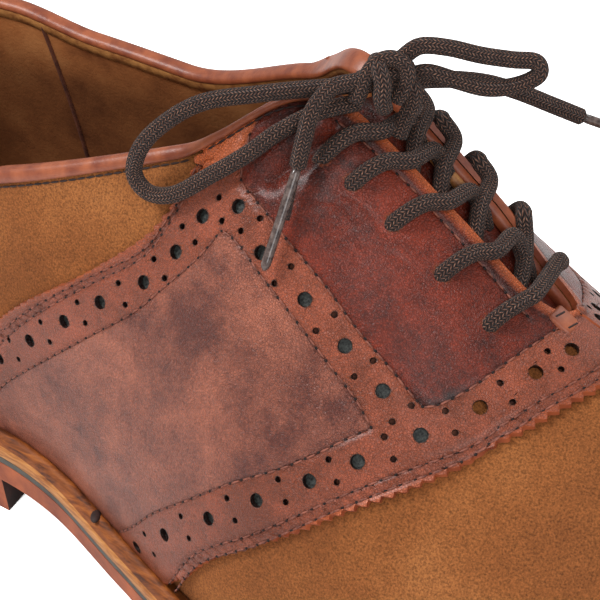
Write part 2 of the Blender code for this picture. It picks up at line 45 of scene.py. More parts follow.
outer, inner = -1, 1
heelCentreX = 34.0
lastRow = 14
throatTopRow, throatBaseRow = 7, 9
ridgeTable = [  # x, y, z along the top of the foot, row 0 at the heel to row 14 at the toe
    (6, 0, 118), (12.5, 0, 118), (28, 0, 118), (46, 0.5, 118), (66, 1, 118), (88, 2, 116), (124, 3, 112),
    (149, 3.5, 99), (170.5, 4, 79.5), (189, 4, 62), (205, 4.5, 55.5), (224, 5, 52), (242, 5, 49.5),
    (255, 5.5, 46.5), (263, 5.5, 44),
]
sideColumns = ["footX", "footY", "spread", "drop", "footLean", "footReach", "topLean", "topReach"]
sideTables = {
    outer: [
        (0, 0, 0, 36, 8, 22, 86, 20), (5, -17.5, 11, 37, 8, 22, 84, 18),
        (20, -28.5, 22, 40, 7, 20, 82, 16), (44, -31, 26.8, 42.4, 6, 18, 80, 14),
        (69, -30, 28, 45, 6, 17, 78, 14), (93, -33, 27, 36, 8, 18, 72, 16),
        (116, -40.5, 18.4, 22.5, 8, 22, 50, 24), (140, -48, 4.8, 2, 10, 24, 25, 26),
        (163, -51.5, 4.5, 1.2, 12, 24, 14, 26), (187, -51.5, 0, 0, 14, 23, 0, 26),
        (212, -48.5, 0, 0, 14, 20, 0, 26), (237, -41, 0, 0, 14, 18, 0, 23),
        (260, -31, 0, 0, 14, 16, 0, 18), (279, -16.5, 0, 0, 14, 15, 0, 15), (287, 6, 0, 0, 14, 14, 0, 14),
    ],
    inner: [
        (0, 0, 0, 36, 8, 22, 86, 20), (5, 17.5, 11, 37, 8, 22, 84, 18),
        (20, 28.5, 21.2, 36.5, 7, 20, 82, 16), (44, 30.5, 23.5, 37.5, 8, 18, 80, 14),
        (69, 28.5, 25, 42, 14, 18, 80, 14), (93, 26.5, 25.2, 42.5, 22, 22, 76, 16),
        (116, 27.5, 18.2, 26, 22, 26, 60, 20), (140, 31.5, 5.1, 1.6, 20, 28, 58, 18),
        (163, 37.5, 4.6, 1.2, 16, 28, 58, 17), (187, 43.5, 0, 0, 14, 20, 30, 10),
        (212, 46.5, 0, 0, 14, 20, 16, 14), (237, 43.5, 0, 0, 14, 19, 8, 22),
        (260, 37.5, 0, 0, 14, 16, 0, 18), (279, 26, 0, 0, 14, 15, 0, 15), (287, 6, 0, 0, 14, 14, 0, 14),
    ],
}
undersideX = [-10.0, 78.0, 106.0, 138.0, 165.0, 205.0, 240.0, 270.0, 300.0]
undersideZ = [9.0, 9.0, 6.2, 2.2, 0.0, 0.0, 2.0, 6.0, 11.5]
outsoleX = [-10.0, 70.0, 150.0, 300.0]
outsoleThick = [5.0, 5.0, 3.8, 3.6]
layerGap, midsoleThick, weltThick = 0.25, 1.0, 3.5
soleBeyondUpper = 4.6


def steadyCurve(xs, ys, x):
    xs, ys, x = (np.asarray(values, float) for values in (xs, ys, x))
    step = np.diff(xs)
    rise = np.diff(ys) / step
    before, after = rise[:-1], rise[1:]
    steady = before * after > 0
    middle = np.where(steady, 2 * before * after / np.where(steady, before + after, 1.0), 0.0)
    slope = np.concatenate(([rise[0]], middle, [rise[-1]]))
    i = np.clip(np.searchsorted(xs, x) - 1, 0, len(step) - 1)
    t = np.clip((x - xs[i]) / step[i], 0.0, 1.0)
    start = (2 * t**3 - 3 * t**2 + 1) * ys[i] + (t**3 - 2 * t**2 + t) * step[i] * slope[i]
    end = (3 * t**2 - 2 * t**3) * ys[i + 1] + (t**3 - t**2) * step[i] * slope[i + 1]
    return start + end


def roundCurve(before, values, after, row):
    # a smooth curve through values at whole rows, with one more value before and after them
    padded = np.array([before, *values, after], float)
    row = np.asarray(row, float)
    i = np.clip(row.astype(int), 0, len(values) - 2)
    t = row - i
    a, b, c, d = (padded[i + n] for n in range(4))
    return b + 0.5 * t * (c - a + t * (2 * a - 5 * b + 4 * c - d + t * (3 * (b - c) + d - a)))


def column(side, name):
    at = sideColumns.index(name)
    return [line[at] for line in sideTables[side]]


def looped(side, name, row):
    mine, others = column(side, name), column(-side, name)
    return roundCurve(others[1], mine, others[-2], row)


def held(side, name, row):
    return steadyCurve(np.arange(lastRow + 1), column(side, name), row)


def ridgeLine(row):
    parts = []
    for values in zip(*ridgeTable):
        parts.append(roundCurve(values[1], values, 2 * values[-1] - values[-2], row))
    return np.stack(parts, axis=-1)


def underside(x):
    return steadyCurve(undersideX, undersideZ, x)


def outsoleTop(x):
    return underside(x) + steadyCurve(outsoleX, outsoleThick, x)


def weltBase(x):
    return outsoleTop(x) + 2 * layerGap + midsoleThick


def footLine(side, row):
    x = looped(side, "footX", row)
    y = looped(side, "footY", row)
    return np.stack((x, y, weltBase(x) + weltThick + layerGap), axis=-1)


def unit(vectors):
    return vectors / np.maximum(np.linalg.norm(vectors, axis=-1, keepdims=True), 1e-9)


def outward(side, row):
    step = 0.02
    row = np.asarray(row, float)
    along = footLine(side, row + step) - footLine(side, row - step)
    out = unit(np.stack((-side * along[..., 1], side * along[..., 0], np.zeros(row.shape)), axis=-1))
    out[row < step] = (-1.0, 0.0, 0.0)
    out[row > lastRow - step] = (1.0, 0.0, 0.0)
    return out


def lastControls(side):
    # the four control points of each section and the trim that rounds the throat's end
    row = np.linspace(0.0, lastRow, 2801)
    foot = footLine(side, row)
    out = outward(side, row)
    spread, drop = held(side, "spread", row), held(side, "drop", row)
    top = ridgeLine(row) + np.stack((np.zeros(len(row)), side * spread, -drop), axis=-1)
    ahead = ridgeLine(np.minimum(row + 0.05, lastRow))
    behind = ridgeLine(np.maximum(row - 0.05, 0))
    slope = (ahead[:, 2] - behind[:, 2]) / np.maximum(ahead[:, 0] - behind[:, 0], 1e-6)
    slope *= np.clip((row - 6) / 1.5, 0, 1)
    footLean = np.radians(looped(side, "footLean", row))
    topLean = np.radians(looped(side, "topLean", row))
    rise = np.array((0.0, 0.0, 1.0))
    lowStep = out * np.sin(footLean)[:, None] + rise * np.cos(footLean)[:, None]
    low = foot + looped(side, "footReach", row)[:, None] * lowStep
    fall = np.sin(topLean) - slope * out[:, 0]
    topReach = looped(side, "topReach", row)
    high = top + topReach[:, None] * (out * np.cos(topLean)[:, None] - rise * fall[:, None])
    past = np.clip(row - (throatBaseRow - 1), 0, 1)
    halfGap = column(side, "spread")[throatBaseRow - 1] * np.sqrt(1 - past**4)
    missing = np.maximum(0.0, halfGap - spread)
    inThroat = (row > throatBaseRow - 1) & (row < throatBaseRow)
    trim = np.where(inThroat, 1 - missing / (3 * topReach), 1.0)
    return row, np.concatenate((foot, low, high, top, trim[:, None]), axis=1)


controls = {side: lastControls(side) for side in (outer, inner)}


def lastPoint(side, row, up):
    rows, values = controls[side]
    row, up = np.broadcast_arrays(np.asarray(row, float), np.asarray(up, float))
    found = [np.interp(row, rows, values[:, n]) for n in range(13)]
    foot, low, high, top = (np.stack(found[n:n + 3], axis=-1) for n in (0, 3, 6, 9))
    t = (up * found[12])[..., None]
    s = 1 - t
    return s**3 * foot + 3 * s * s * t * low + 3 * s * t * t * high + t**3 * top


def lastNormal(side, row, up):
    step = 0.02
    row, up = np.broadcast_arrays(np.asarray(row, float), np.asarray(up, float))
    ahead, behind = np.minimum(row + step, lastRow), np.maximum(row - step, 0)
    along = lastPoint(side, ahead, up) - lastPoint(side, behind, up)
    across = lastPoint(side, row, np.minimum(up + step, 1)) - lastPoint(side, row, np.maximum(up - step, 0))
    return unit(np.cross(along, across) * -side)


def lifted(side, row, up, height):
    height = np.asarray(height, float)[..., None]
    return lastPoint(side, row, up) + lastNormal(side, row, up) * height


def toWorld(points):
    return (np.asarray(points, float) - (heelCentreX, 0.0, 0.0)) * 0.001


def arcLengths(points):
    steps = np.linalg.norm(np.diff(points, axis=0), axis=1)
    return np.concatenate(([0], np.cumsum(steps)))


def smoothRoute(points, spacing=0.4):
    points = [np.array(point, float) for point in points]
    points = [2 * points[0] - points[1], *points, 2 * points[-1] - points[-2]]
    fine = []
    for a, b, c, d in zip(points, points[1:], points[2:], points[3:]):
        for t in np.linspace(0, 1, 16, endpoint=False):
            fine.append(b + 0.5 * t * (c - a + t * (2 * a - 5 * b + 4 * c - d + t * (3 * (b - c) + d - a))))
    fine.append(points[-2])
    fine = np.array(fine)
    runs = arcLengths(fine)
    count = max(2, int(round(runs[-1] / spacing)))
    spots = np.linspace(0, runs[-1], count + 1)
    return np.stack([np.interp(spots, runs, fine[:, n]) for n in range(fine.shape[1])], axis=-1)


def skinRoute(side, route, spacing=0.4, height=0.0):
    # a line on the last through (row, up) points, evenly spaced in millimetres
    fine = smoothRoute([(row * 20, up * 60) for row, up in route], 0.3)
    row, up = fine[:, 0] / 20, fine[:, 1] / 60
    points = lifted(side, row, up, height)
    runs = arcLengths(points)
    spots = np.arange(0, runs[-1], spacing)
    placed = np.stack([np.interp(spots, runs, points[:, n]) for n in range(3)], axis=-1)
    return placed, np.interp(spots, runs, row), np.interp(spots, runs, up)


def distanceTo(points, line):
    best = np.full(len(points), 1e9)
    for start in range(0, len(line), 40):
        part = line[start:start + 40]
        gaps = np.linalg.norm(points[:, None, :] - part[None, :, :], axis=2)
        best = np.minimum(best, gaps.min(axis=1))
    return best


def insideShape(row, up, shape):
    found = np.zeros(row.shape, bool)
    for (rowA, upA), (rowB, upB) in zip(shape, shape[1:] + shape[:1]):
        crossing = (upA > up) != (upB > up)
        run = upB - upA if upB != upA else 1e-9
        found ^= crossing & (row < (rowB - rowA) * (up - upA) / run + rowA)
    return found


def offsetRoute(side, route, distance):
    # the same line moved sideways over the last by so many millimetres
    row, up = np.array(route).T
    start = lastPoint(side, row, up)
    rowSize = np.linalg.norm(lastPoint(side, row + 0.01, up) - start, axis=1) / 0.01
    upSize = np.linalg.norm(lastPoint(side, row, up - 0.01) - start, axis=1) / 0.01
    along, rise = np.gradient(row) * rowSize, np.gradient(up) * upSize
    size = np.hypot(along, rise)
    return list(zip(row - rise / size * distance / rowSize, up + along / size * distance / upSize))


# where the saddle's seams run on the outer side, as (row, up) on the last
seams = {
    "rearFirst": [(3.4, 0.03), (4.14, 0.29), (4.9, 0.5), (5.34, 0.613), (5.66, 0.686), (5.97, 0.745),
                  (6.07, 0.79), (6.14, 0.85), (6.17, 0.93)],
    "rearInner": [(4, 0.03), (4.52, 0.238), (4.92, 0.35), (5.48, 0.488), (5.8, 0.562), (6.2, 0.638),
                  (6.52, 0.675), (6.66, 0.713)],
    "diagonalLeft": [(6.66, 0.713), (7, 0.668), (7.44, 0.64), (7.72, 0.625), (8, 0.61), (8.2, 0.588)],
    "diagonalRight": [(6.5, 0.93), (6.64, 0.812), (6.8, 0.768), (7, 0.742), (7.28, 0.725),
                      (7.56, 0.713), (7.8, 0.7), (8.12, 0.688), (8.44, 0.675)],
    "frontInner": [(5.95, 0.02), (6.12, 0.075), (6.48, 0.188), (6.92, 0.275), (7.28, 0.35),
                   (7.64, 0.425), (7.92, 0.5), (8.2, 0.588)],
    "frontUpper": [(8.44, 0.675), (8.54, 0.7), (8.68, 0.763), (8.8, 0.838), (8.92, 0.91), (9.08, 1)],
    "frontFirst": [(6.62, 0.03), (7, 0.178), (7.56, 0.3), (7.92, 0.39), (8.2, 0.468), (8.6, 0.588),
                   (9, 0.7), (9.2, 0.785), (9.42, 0.87), (9.7, 1)],
    "facing": [(6.95, 0.955), (7.36, 0.96), (7.72, 0.965), (8.08, 0.962), (8.48, 0.96), (8.8, 0.95)],
}
seams["rearSecond"] = offsetRoute(outer, seams["rearFirst"], -1.5)
seams["frontSecond"] = offsetRoute(outer, seams["frontFirst"], -1.75)
rearHoles = [(3.86, 0.07), (4.24, 0.22), (4.64, 0.363), (5.12, 0.475), (5.48, 0.562), (5.76, 0.625),
             (6.08, 0.675), (6.3, 0.716), (6.44, 0.765), (6.74, 0.75)]
frontHoles = [(6.24, 0.05), (6.68, 0.175), (7.16, 0.275), (7.56, 0.363), (7.92, 0.45), (8.2, 0.528),
              (8.52, 0.635), (8.8, 0.738), (9.04, 0.825), (9.2, 0.913)]
diagonalHoles = [(6.74, 0.75), (7.04, 0.69), (7.44, 0.676), (7.8, 0.665), (8.16, 0.65), (8.52, 0.635)]
eyeletRows, eyeletUp = [8.56, 8.12, 7.69, 7.36, 7.12], 0.885
facingShape = seams["diagonalRight"] + seams["frontUpper"] + [(9.08, 1.1), (6.4, 1.1)]
centreShape = (seams["rearInner"] + seams["diagonalLeft"][1:] + seams["frontInner"][::-1]
               + [(5.95, -0.1), (4.0, -0.1)])
saddleUp = [0.0, 0.2, 0.35, 0.5, 0.6, 0.7, 0.8, 0.9, 1.0]
saddleRear = [3.1, 3.6, 4.12, 4.76, 5.18, 5.64, 6.02, 6.13, 6.14]
saddleFront = [6.52, 7.2, 7.9, 8.46, 8.8, 9.15, 9.42, 9.7, 9.95]
creases = [  # line on the last, half width and height in millimetres, on which side
    ([(6.78, 0.835), (6.86, 0.88), (6.96, 0.94)], 1.8, 1.25, outer),
    ([(6.88, 0.80), (7.0, 0.85), (7.1, 0.93)], 2.0, -1.4, outer),
    ([(7.2, 0.80), (7.18, 0.86), (7.22, 0.93)], 2.2, 0.5, outer),
    ([(6.6, 0.87), (6.72, 0.92), (6.8, 0.97)], 1.5, -0.7, outer),
    ([(7.12, 0.79), (7.3, 0.83), (7.5, 0.84)], 0.55, -0.16, outer),
    ([(7.18, 0.77), (7.4, 0.805), (7.62, 0.81)], 0.5, -0.13, outer),
    ([(7.1, 0.765), (7.3, 0.78), (7.56, 0.785)], 0.5, -0.12, outer),
    ([(7.36, 0.855), (7.52, 0.865), (7.7, 0.855)], 0.5, -0.14, outer),
    ([(7.42, 0.77), (7.64, 0.785), (7.86, 0.78)], 0.5, -0.1, outer),
    ([(7.78, 0.84), (7.95, 0.85), (8.1, 0.84)], 0.5, -0.1, outer),
    ([(6.6, 0.85), (6.8, 0.9), (6.95, 0.95)], 2.4, 0.6, inner),
]
creaseLines = [(skinRoute(side, route)[0], half, height, side) for route, half, height, side in creases]


def creaseHeight(side, points):
    total = np.zeros(len(points))
    for line, half, height, mine in creaseLines:
        if mine == side:
            total += height * np.exp(-(distanceTo(points, line) / half) ** 2)
    return total


def feed(tree, socket, value):
    # a socket takes a link, or a colour or number of its own
    if isinstance(value, bpy.types.NodeSocket):
        tree.links.new(value, socket)
    else:
        socket.default_value = (*value, 1) if isinstance(value, tuple) else value


def mathNode(tree, operation, first, second=0):
    node = tree.nodes.new("ShaderNodeMath")
    node.operation = operation
    feed(tree, node.inputs[0], first)
    feed(tree, node.inputs[1], second)
    return node.outputs[0]


class Look:
    # one material, with a short call for each kind of node

    def __init__(self, name, roughness=0.6, coat=0, sheen=0, specular=0.5):
        self.made = bpy.data.materials.new(name)
        self.made.use_nodes = True
        self.tree = self.made.node_tree
        self.shader = self.tree.nodes["Principled BSDF"]
        starts = {"Roughness": roughness, "Coat Weight": coat, "Coat Roughness": 0.25,
                  "Sheen Weight": sheen, "Specular IOR Level": specular}
        for socket, value in starts.items():
            self.shader.inputs[socket].default_value = value
        self.coords = self.add("TexCoord").outputs["Object"]

    def add(self, kind, **values):
        node = self.tree.nodes.new("ShaderNode" + kind)
        for socket, value in values.items():
            feed(self.tree, node.inputs[socket], value)
        return node

    def noise(self, scale, detail=4, roughness=0.55, distortion=0, coords=None):
        node = self.add("TexNoise", Scale=scale, Detail=detail, Roughness=roughness, Distortion=distortion,
                        Vector=coords or self.coords)
        return node.outputs["Fac"]

    def ramp(self, factor, *stops):
        # each stop is a place with a colour or a grey
        node = self.add("ValToRGB", Fac=factor)
        while len(node.color_ramp.elements) < len(stops):
            node.color_ramp.elements.new(0.5)
        for element, (place, colour) in zip(node.color_ramp.elements, stops):
            element.position = place
            element.color = (*colour, 1) if isinstance(colour, tuple) else (colour, colour, colour, 1)
        return node.outputs["Color"]

    def mix(self, factor, first, second, blend="MIX"):
        node = self.add("Mix")
        node.data_type = "RGBA"
        node.blend_type = blend
        for place, value in ((0, factor), (6, first), (7, second)):
            feed(self.tree, node.inputs[place], value)
        return node.outputs[2]

    def times(self, first, second):
        return self.mix(1, first, second, "MULTIPLY")

    def math(self, operation, first, second=0):
        return mathNode(self.tree, operation, first, second)

    def bump(self, height, strength, distance, **before):
        node = self.add("Bump", Strength=strength, Distance=distance, Height=height, **before)
        return node.outputs["Normal"]

    def finish(self, colour, normal):
        feed(self.tree, self.shader.inputs["Base Color"], colour)
        feed(self.tree, self.shader.inputs["Normal"], normal)
        return self.made


def srgb(red, green, blue):
    parts = []
    for value in (red, green, blue):
        value /= 255
        parts.append(value / 12.92 if value <= 0.04045 else ((value + 0.055) / 1.055) ** 2.4)
    return tuple(parts)


def shades(stops):
    # named stops of a ramp: place, then red, green and blue of the screen
    return [(place, srgb(*colour)) for place, colour in stops]


suedeLook = {"cloud": [(0.3, (121, 70, 36)), (0.52, (139, 83, 43)), (0.75, (156, 98, 54))],
             "cloudScale": 42, "napScale": 2600, "sheen": (156, 98, 54)}


def makeSuede():
    look = Look("suede", 0.95, sheen=0.25, specular=0.2)
    nap = look.noise(suedeLook["napScale"], 3, 0.7)
    broad = look.ramp(look.noise(suedeLook["cloudScale"], 3), *shades(suedeLook["cloud"]))
    grain = look.ramp(nap, (0.34, 0.55), (0.66, 1.55))
    feed(look.tree, look.shader.inputs["Sheen Tint"], srgb(*suedeLook["sheen"]))
    return look.finish(look.times(broad, grain), look.bump(nap, 0.9, 0.0005))


liningLook = {"cloud": [(0.3, (120, 68, 36)), (0.5, (170, 106, 60)), (0.75, (204, 140, 86))],
              "cloudScale": 55, "grainScale": 1400, "topZ": 0.1}


def makeLining():
    # painted shade: darker towards the insole and brighter up towards the collar
    look = Look("lining", 0.75, specular=0.25)
    place = look.add("SeparateXYZ", Vector=look.coords)
    rise = look.math("DIVIDE", place.outputs["Z"], liningLook["topZ"])
    cloud = look.ramp(look.noise(liningLook["cloudScale"], 5, 0.6), *shades(liningLook["cloud"]))
    shade = look.ramp(rise, (0.62, (0.48, 0.46, 0.44)), (0.92, (1.9, 1.86, 1.8)))
    grain = look.noise(liningLook["grainScale"], 3, 0.6)
    return look.finish(look.times(cloud, shade), look.bump(grain, 0.4, 0.0003))


leatherLook = {
    "centre": [(0.41, (98, 50, 40)), (0.59, (162, 94, 72))],
    "facing": [(0.42, (44, 14, 10)), (0.6, (132, 48, 28))],
    "edge": (196, 98, 52), "seam": (34, 14, 10),
    "cloudScale": 44, "streakScale": 260, "speckScale": 1700, "poreScale": 2100,
}


def makeLeather(name, painted):
    # the paint on the mesh says where the facings, the paler edges and the seams are
    look = Look(name, coat=0.18, specular=0.3)
    cloud = look.noise(leatherLook["cloudScale"], 5, 0.6, 0.4)
    streak = look.noise(leatherLook["streakScale"], 4, 0.65)
    speck = look.noise(leatherLook["speckScale"], 3, 0.7)
    cells = look.add("TexVoronoi")
    cells.feature = "DISTANCE_TO_EDGE"
    feed(look.tree, cells.inputs["Scale"], leatherLook["poreScale"])
    feed(look.tree, cells.inputs["Vector"], look.coords)
    pores = look.ramp(cells.outputs["Distance"], (0, 0), (0.22, 1))
    mottle = look.math("ADD", look.math("MULTIPLY", cloud, 0.62), look.math("MULTIPLY", streak, 0.24))
    mottle = look.math("ADD", mottle, look.math("MULTIPLY", speck, 0.14))
    colour = look.ramp(mottle, *shades(leatherLook["facing"]))
    if painted:
        paint = look.add("Attribute")
        paint.attribute_name = "paint"
        split = look.add("SeparateColor", Color=paint.outputs["Color"])
        colour = look.mix(split.outputs["Red"], look.ramp(mottle, *shades(leatherLook["centre"])), colour)
        colour = look.mix(split.outputs["Green"], colour, srgb(*leatherLook["edge"]))
        colour = look.mix(split.outputs["Blue"], colour, srgb(*leatherLook["seam"]))
    furrow = look.ramp(pores, (0, (0.7, 0.68, 0.66)), (1, 1.06))
    dust = look.ramp(speck, (0.36, (0.88, 0.87, 0.86)), (0.64, 1.12))
    roughness = look.math("ADD", look.math("MULTIPLY", streak, 0.3), 0.2)
    feed(look.tree, look.shader.inputs["Roughness"], roughness)
    normal = look.bump(pores, 0.6, 0.00022)
    normal = look.bump(speck, 0.5, 0.0003, Normal=normal)
    colour = look.times(look.times(colour, furrow), dust)
    return look.finish(colour, look.bump(streak, 0.35, 0.0008, Normal=normal))


def makePlain(name, pale, deep, roughness=0.5, scale=160, bump=0.3):
    look = Look(name, roughness, coat=0.05)
    colour = look.ramp(look.noise(scale, 5, 0.6), (0.35, srgb(*deep)), (0.65, srgb(*pale)))
    return look.finish(colour, look.bump(look.noise(1500, 2, 0.6), bump, 0.0002))


laceLook = {"yarnAndGrooveShade": [(0.2, (20, 11, 8)), (0.75, (88, 54, 42))], "fleckAndHighlight": (190, 138, 110), "fleckScale": 1500,
            "pitch": 0.66, "columns": 16}


def makeLace():
    # a round braid from the tube's own UV: x is millimetres along it and y goes once round
    look = Look("laceBraid", 0.85, specular=0.25, sheen=0.1)
    layer = look.add("UVMap")
    layer.uv_map = "UVMap"
    split = look.add("SeparateXYZ", Vector=layer.outputs["UV"])
    wound = look.math("MULTIPLY", split.outputs["Y"], laceLook["columns"])
    inColumn = look.math("FRACT", wound)
    parity = look.math("MODULO", look.math("FLOOR", wound), 2)
    lean = look.math("SUBTRACT", look.math("MULTIPLY", parity, 2), 1)
    slant = look.math("MULTIPLY", look.math("SUBTRACT", inColumn, 0.5), lean)
    along = look.math("ADD", look.math("DIVIDE", split.outputs["X"], laceLook["pitch"]), slant)
    wave = look.math("SINE", look.math("MULTIPLY", along, math.tau))
    wave = look.math("ADD", look.math("MULTIPLY", wave, 0.5), 0.5)
    ridge = look.math("SINE", look.math("MULTIPLY", inColumn, math.pi))
    height = look.math("MULTIPLY", wave, look.math("POWER", ridge, 0.5))
    # painted highlight: the light fleck colour shows only on the tops of the strands
    strandHighlight = look.ramp(height, (0.6, 0), (0.95, 1))
    flecks = look.ramp(look.noise(laceLook["fleckScale"], 2, 0.7), (0.4, 0), (0.62, 0.8))
    # painted shade: the yarn darkens into the grooves between the strands
    yarnAndGrooveShade = look.ramp(height, *shades(laceLook["yarnAndGrooveShade"]))
    colour = look.mix(look.math("MULTIPLY", flecks, strandHighlight), yarnAndGrooveShade, srgb(*laceLook["fleckAndHighlight"]))
    return look.finish(colour, look.bump(height, 1, 0.0005))


weltLook = {"stretch": (1, 3.2, 9), "turn": 12, "scale": 120, "stops": (0.34, 0.5, 0.68)}


def makeWeltLook(name, *colours):
    # smooth leather with long wood-like streaks that follow the shoe's edge, darkest colour first
    look = Look(name, specular=0.3)
    stretch = look.add("Mapping", Vector=look.coords)
    stretch.inputs["Scale"].default_value = weltLook["stretch"]
    stretch.inputs["Rotation"].default_value = (0, 0, math.radians(weltLook["turn"]))
    lines = look.noise(weltLook["scale"], 5, 0.7, 0.6, stretch.outputs["Vector"])
    streaks = look.ramp(lines, *shades(zip(weltLook["stops"], colours)))
    return look.finish(streaks, look.bump(lines, 0.35, 0.0003))


suede = makeSuede()
lining = makeLining()
saddleLeather = makeLeather("saddleLeather", True)
tongueLeather = makeLeather("tongueLeather", False)
laceBraid = makeLace()
weltBead = makeWeltLook("weltBead", (64, 30, 12), (124, 64, 22), (162, 92, 36))
weltEdge = makeWeltLook("weltEdge", (128, 70, 30), (176, 112, 56), (206, 148, 88))
rawEdge = makePlain("rawEdge", (176, 92, 54), (122, 54, 32))
bindingLeather = makePlain("bindingLeather", (162, 88, 54), (122, 58, 36), 0.42, 260)
midsoleLook = makePlain("midsoleRubber", (78, 76, 70), (52, 50, 46), 0.7)
outsoleLook = makePlain("outsoleLeather", (172, 88, 46), (122, 56, 32), 0.7, 120)
punchEdge = makePlain("punchEdge", (120, 56, 36), (58, 24, 18), 0.8, 900)
seamShade = makePlain("liningSeam", (112, 62, 40), (70, 34, 24), 0.8, 400)
# painted shade: a dark look for the heel's front, which stands in shadow
paintedHeelShade = makePlain("heelBreastPaintedShade", (62, 34, 28), (36, 20, 18), 0.8)
tongueFold = makePlain("tongueFold", (186, 128, 70), (132, 78, 38), 0.6, 500)
threadLook = makePlain("thread", (148, 84, 64), (84, 40, 28), 0.6, 900)
holeLook = makePlain("holeBacking", (74, 78, 74), (4, 4, 5), 0.6, 2300, 0.8)
# painted shade: the dark inside the needle holes
needleHoleShade = makePlain("needleHoleShade", (34, 14, 10), (14, 6, 5), 0.9, 900)
darkThread = makePlain("darkThread", (52, 26, 20), (26, 12, 10), 0.7, 900)
aglet = makePlain("aglet", (112, 96, 90), (52, 40, 38), 0.14, 900, 0.05)
print("materials made")


def newObject(name, data):
    made = bpy.data.objects.new(name, data)
    bpy.context.scene.collection.objects.link(made)
    return made


def meshFrom(name, bm, looks):
    mesh = bpy.data.meshes.new(name)
    bm.to_mesh(mesh)
    bm.free()
    for look in looks:
        mesh.materials.append(look)
    return mesh


def placed(point, turn, size=(1, 1, 1)):
    # a matrix from a place in millimetres, a turn and a size in metres
    return Matrix.Translation(Vector(toWorld(point))) @ turn @ Matrix.Diagonal(Vector((*size, 1)))


def addWall(piece, thickness, offset, back, rim):
    wall = piece.modifiers.new("wall", "SOLIDIFY")
    wall.thickness = thickness * 0.001
    wall.offset = offset
    wall.material_offset = back
    wall.material_offset_rim = rim


def addPiece(name, bm, looks, nodes=()):
    mesh = meshFrom(name, bm, looks)
    mesh.shade_smooth()
    piece = newObject(name, mesh)
    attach(piece, "root")
    if nodes:
        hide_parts(*nodes)
    return piece


def addGrid(bm, columns, rings, place):
    # place gets two arrays from 0 to 1 and gives millimetre points
    made = bmesh.ops.create_grid(bm, x_segments=columns, y_segments=rings, size=0.5, calc_uvs=True)
    verts = made["verts"]
    flat = np.array([vert.co[:2] for vert in verts]) + 0.5
    for vert, spot in zip(verts, toWorld(place(flat[:, 0], flat[:, 1]))):
        vert.co = spot
    return verts


def newGridMesh():
    bm = bmesh.new()
    bm.loops.layers.uv.new("UVMap")
    bm.verts.layers.float_color.new("paint")
    return bm


def faceOut(bm, heart=(140.0, 2.0, 30.0)):
    bmesh.ops.recalc_face_normals(bm, faces=bm.faces)
    bm.normal_update()
    centre = Vector(toWorld(heart))
    total = sum(face.normal.dot(face.calc_center_median() - centre) for face in bm.faces)
    if total < 0:
        bmesh.ops.reverse_faces(bm, faces=bm.faces)


# the upper: suede outside, lining inside
upperLook = {"columns": 230, "rings": 60, "wall": 2.2}


def makeUpper():
    bm = newGridMesh()
    for side in (outer, inner):

        def place(u, v):
            row = u * lastRow
            points = lastPoint(side, row, v)
            return points + lastNormal(side, row, v) * creaseHeight(side, points)[:, None] * 0.9

        addGrid(bm, upperLook["columns"], upperLook["rings"], place)
    bmesh.ops.remove_doubles(bm, verts=bm.verts, dist=2e-5)
    faceOut(bm)
    piece = addPiece("upperSkin", bm, [suede, lining, rawEdge], ["upper"])
    addWall(piece, upperLook["wall"], -1, 1, 2)


makeUpper()
print("upper made")

# the saddle: pinked at both edges, punched, with stitched seams pressed in
saddleLook = {
    "lift": 0.12, "thick": 1.15, "cell": 0.62, "across": 88, "toothPitch": 2.4, "toothDepth": 1.15,
    "largeHole": 1.28, "smallHole": 0.55, "eyelet": 1.45, "pairReach": 2.05, "low": 0.006, "lastLined": 8.7,
    "punchDepth": 6, "punchMiddle": 0.6, "backingLift": 0.24, "backingSpread": 1.25,
    "seamDepth": 0.3, "seamHalf": 0.55, "edgeSwell": 0.22, "stripSwell": 0.25,
    "ribHeight": 0.2, "ribPitch": 1.15,
}


def nearestNormal(side, point):
    rows, ups = np.linspace(3, 10, 281), np.linspace(0, 1, 101)
    gaps = np.linalg.norm(lastPoint(side, rows[:, None], ups[None, :]) - point, axis=2)
    i, j = np.unravel_index(gaps.argmin(), gaps.shape)
    return lastNormal(side, rows[i], ups[j])


def punchSpots(side):
    # each hole's centre, normal, radius and backing: 0 dark, 1 brown, None for a hole left open
    large, small = [], []
    for route in (rearHoles, frontHoles, diagonalHoles):
        large += [spot for spot in route if spot not in large]
        for a, b in zip(route, route[1:]):
            middle = ((a[0] + b[0]) / 2, (a[1] + b[1]) / 2)
            heading = unit(lastPoint(side, *b) - lastPoint(side, *a))
            sideways = np.cross(lastNormal(side, *middle), heading) * saddleLook["pairReach"]
            small += [lastPoint(side, *middle) + sideways, lastPoint(side, *middle) - sideways]
    spots = [(spot, saddleLook["largeHole"]) for spot in large]
    spots += [((row, eyeletUp), saddleLook["eyelet"]) for row in eyeletRows]
    holes = []
    for spot, radius in spots:
        kind = None if spot[0] > saddleLook["lastLined"] else 0
        holes.append((lastPoint(side, *spot), lastNormal(side, *spot), radius, kind))
    return holes + [(point, nearestNormal(side, point), saddleLook["smallHole"], 1) for point in small]


def turnTo(normal):
    return Vector(normal).to_track_quat("Z", "Y").to_matrix().to_4x4()


def makePunches(side):
    # one short cylinder per hole, through the saddle along its normal, and a disc beneath it
    cutter, backing = bmesh.new(), bmesh.new()
    for point, normal, radius, kind in punchSpots(side):
        radius *= 0.001
        middle = placed(point + normal * saddleLook["punchMiddle"], turnTo(normal))
        bmesh.ops.create_cone(cutter, cap_ends=True, segments=20, radius1=radius, radius2=radius,
                              depth=saddleLook["punchDepth"] * 0.001, matrix=middle)
        if kind is None:
            continue
        under = placed(point + normal * saddleLook["backingLift"], turnTo(normal))
        disc = bmesh.ops.create_circle(backing, cap_ends=True, segments=16,
                                       radius=radius * saddleLook["backingSpread"], matrix=under)
        for face in disc["verts"][0].link_faces:
            face.material_index = kind
    return cutter, backing


def hump(gap, half):
    return np.exp(-(gap / half) ** 2)


